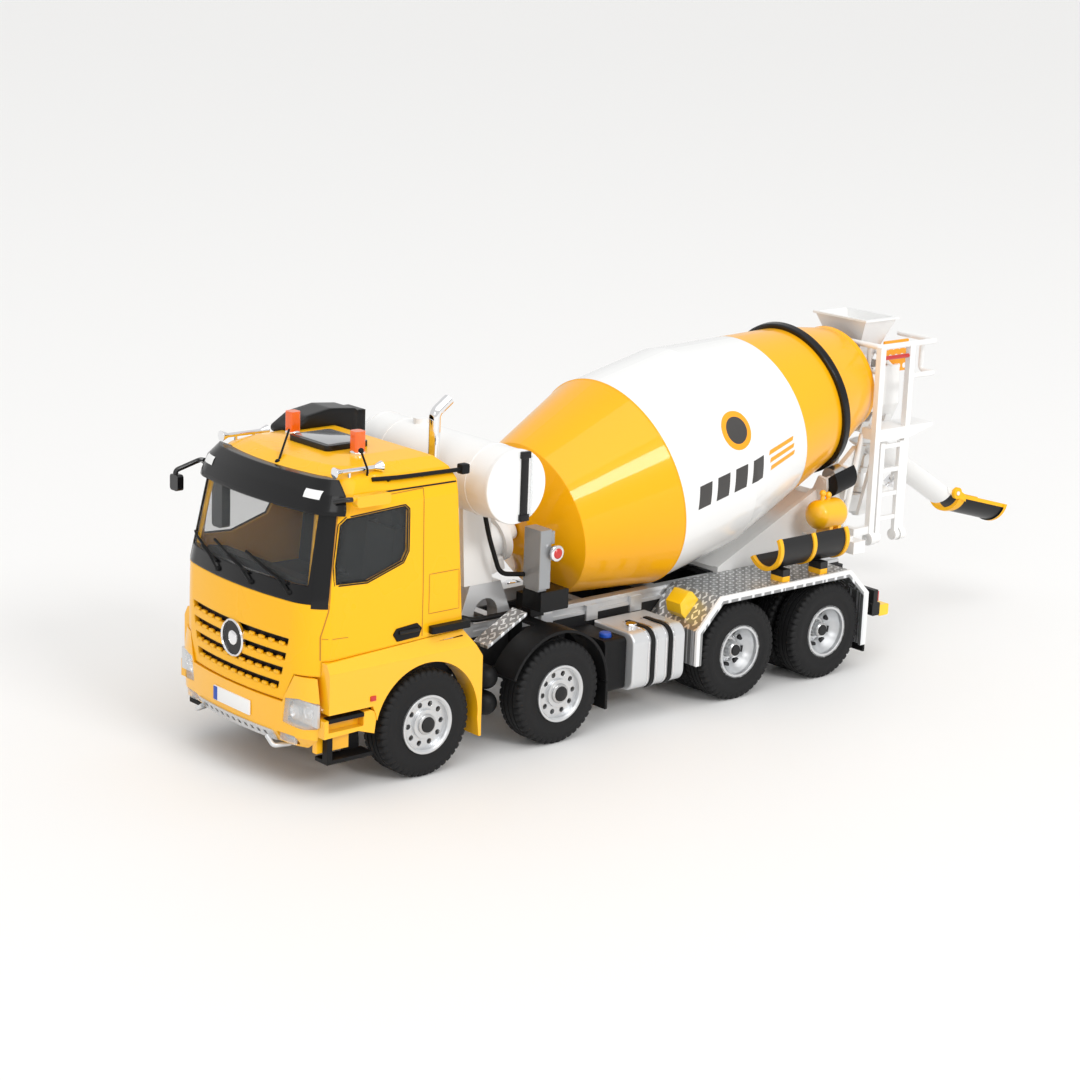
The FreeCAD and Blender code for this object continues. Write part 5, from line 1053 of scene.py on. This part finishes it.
# ------------------------------------------------------------------------ stage
def floor():
    """A wide pale table top."""
    mat, _, links, shader = new_material("floor")
    noise = mat.node_tree.nodes.new("ShaderNodeTexNoise")
    noise.inputs["Scale"].default_value = 3.0
    links.new(spread(mat, noise.outputs["Fac"], 0.55, 0.65), shader.inputs["Roughness"])
    shader.inputs["Base Color"].default_value = (0.86, 0.855, 0.845, 1)
    reach = 9.0
    mesh = bpy.data.meshes.new("floor")
    mesh.from_pydata([(-reach, -reach, 0), (reach, -reach, 0), (reach, reach, 0), (-reach, reach, 0)], [],
                     [(0, 1, 2, 3)])
    mesh.materials.append(mat)
    obj = bpy.data.objects.new("floor", mesh)
    bpy.context.scene.collection.objects.link(obj)


def surroundings():
    world = bpy.data.worlds.new("studio")
    bpy.context.scene.world = world
    world.use_nodes = True
    background = world.node_tree.nodes["Background"]
    background.inputs["Color"].default_value = (1.0, 1.0, 1.0, 1)
    background.inputs["Strength"].default_value = 0.79


def add_light(name, kind, strength, direction):
    """A light that shines in a direction; the caller sets its size and place."""
    light = bpy.data.lights.new(name, kind)
    light.energy = strength
    obj = bpy.data.objects.new(name, light)
    obj.rotation_euler = Vector(direction).to_track_quat("-Z", "Y").to_euler()
    bpy.context.scene.collection.objects.link(obj)
    return obj


def softbox(name, at, size, strength):
    """A rectangular lamp that points at the middle of the truck."""
    target = Vector((-0.06, 0, 0.03))
    obj = add_light(name, "AREA", strength, target - Vector(at))
    obj.location = Vector(at)
    obj.data.shape = "RECTANGLE"
    obj.data.size, obj.data.size_y = size


def add_camera(at, azimuth, elevation, roll, lens):
    """A camera at a point in metres, with its angles in degrees."""
    data = bpy.data.cameras.new("camera")
    data.lens = lens
    data.sensor_width = 36.0
    data.clip_start = 0.01
    data.dof.use_dof = False
    camera = bpy.data.objects.new("camera", data)
    az, el, roll = math.radians(azimuth), math.radians(elevation), math.radians(roll)
    back = Vector((math.sin(az) * math.cos(el), -math.cos(az) * math.cos(el), math.sin(el)))
    right = Vector((math.cos(az), math.sin(az), 0))
    up = back.cross(right)
    level = right * math.cos(roll) + up * math.sin(roll)
    upright = up * math.cos(roll) - right * math.sin(roll)
    turn = Matrix((level, upright, back)).transposed().to_4x4()
    camera.matrix_world = Matrix.Translation(Vector(at)) @ turn
    bpy.context.scene.collection.objects.link(camera)
    bpy.context.scene.camera = camera


floor()
surroundings()
overhead = add_light("overhead", "SUN", 0.75, (-0.25, -0.35, -1.0))
overhead.data.angle = math.radians(50)
softbox("key_softbox", (-0.03, 1.40, 0.90), (0.55, 0.36), 8.5)
softbox("front_softbox", (1.50, 0.95, 0.85), (0.5, 0.5), 2.6)
add_camera((0.29065, 0.38815, 0.16869), 138.857, 14.516, 2.121, 84.80)
bpy.context.scene.view_settings.view_transform = "Standard"
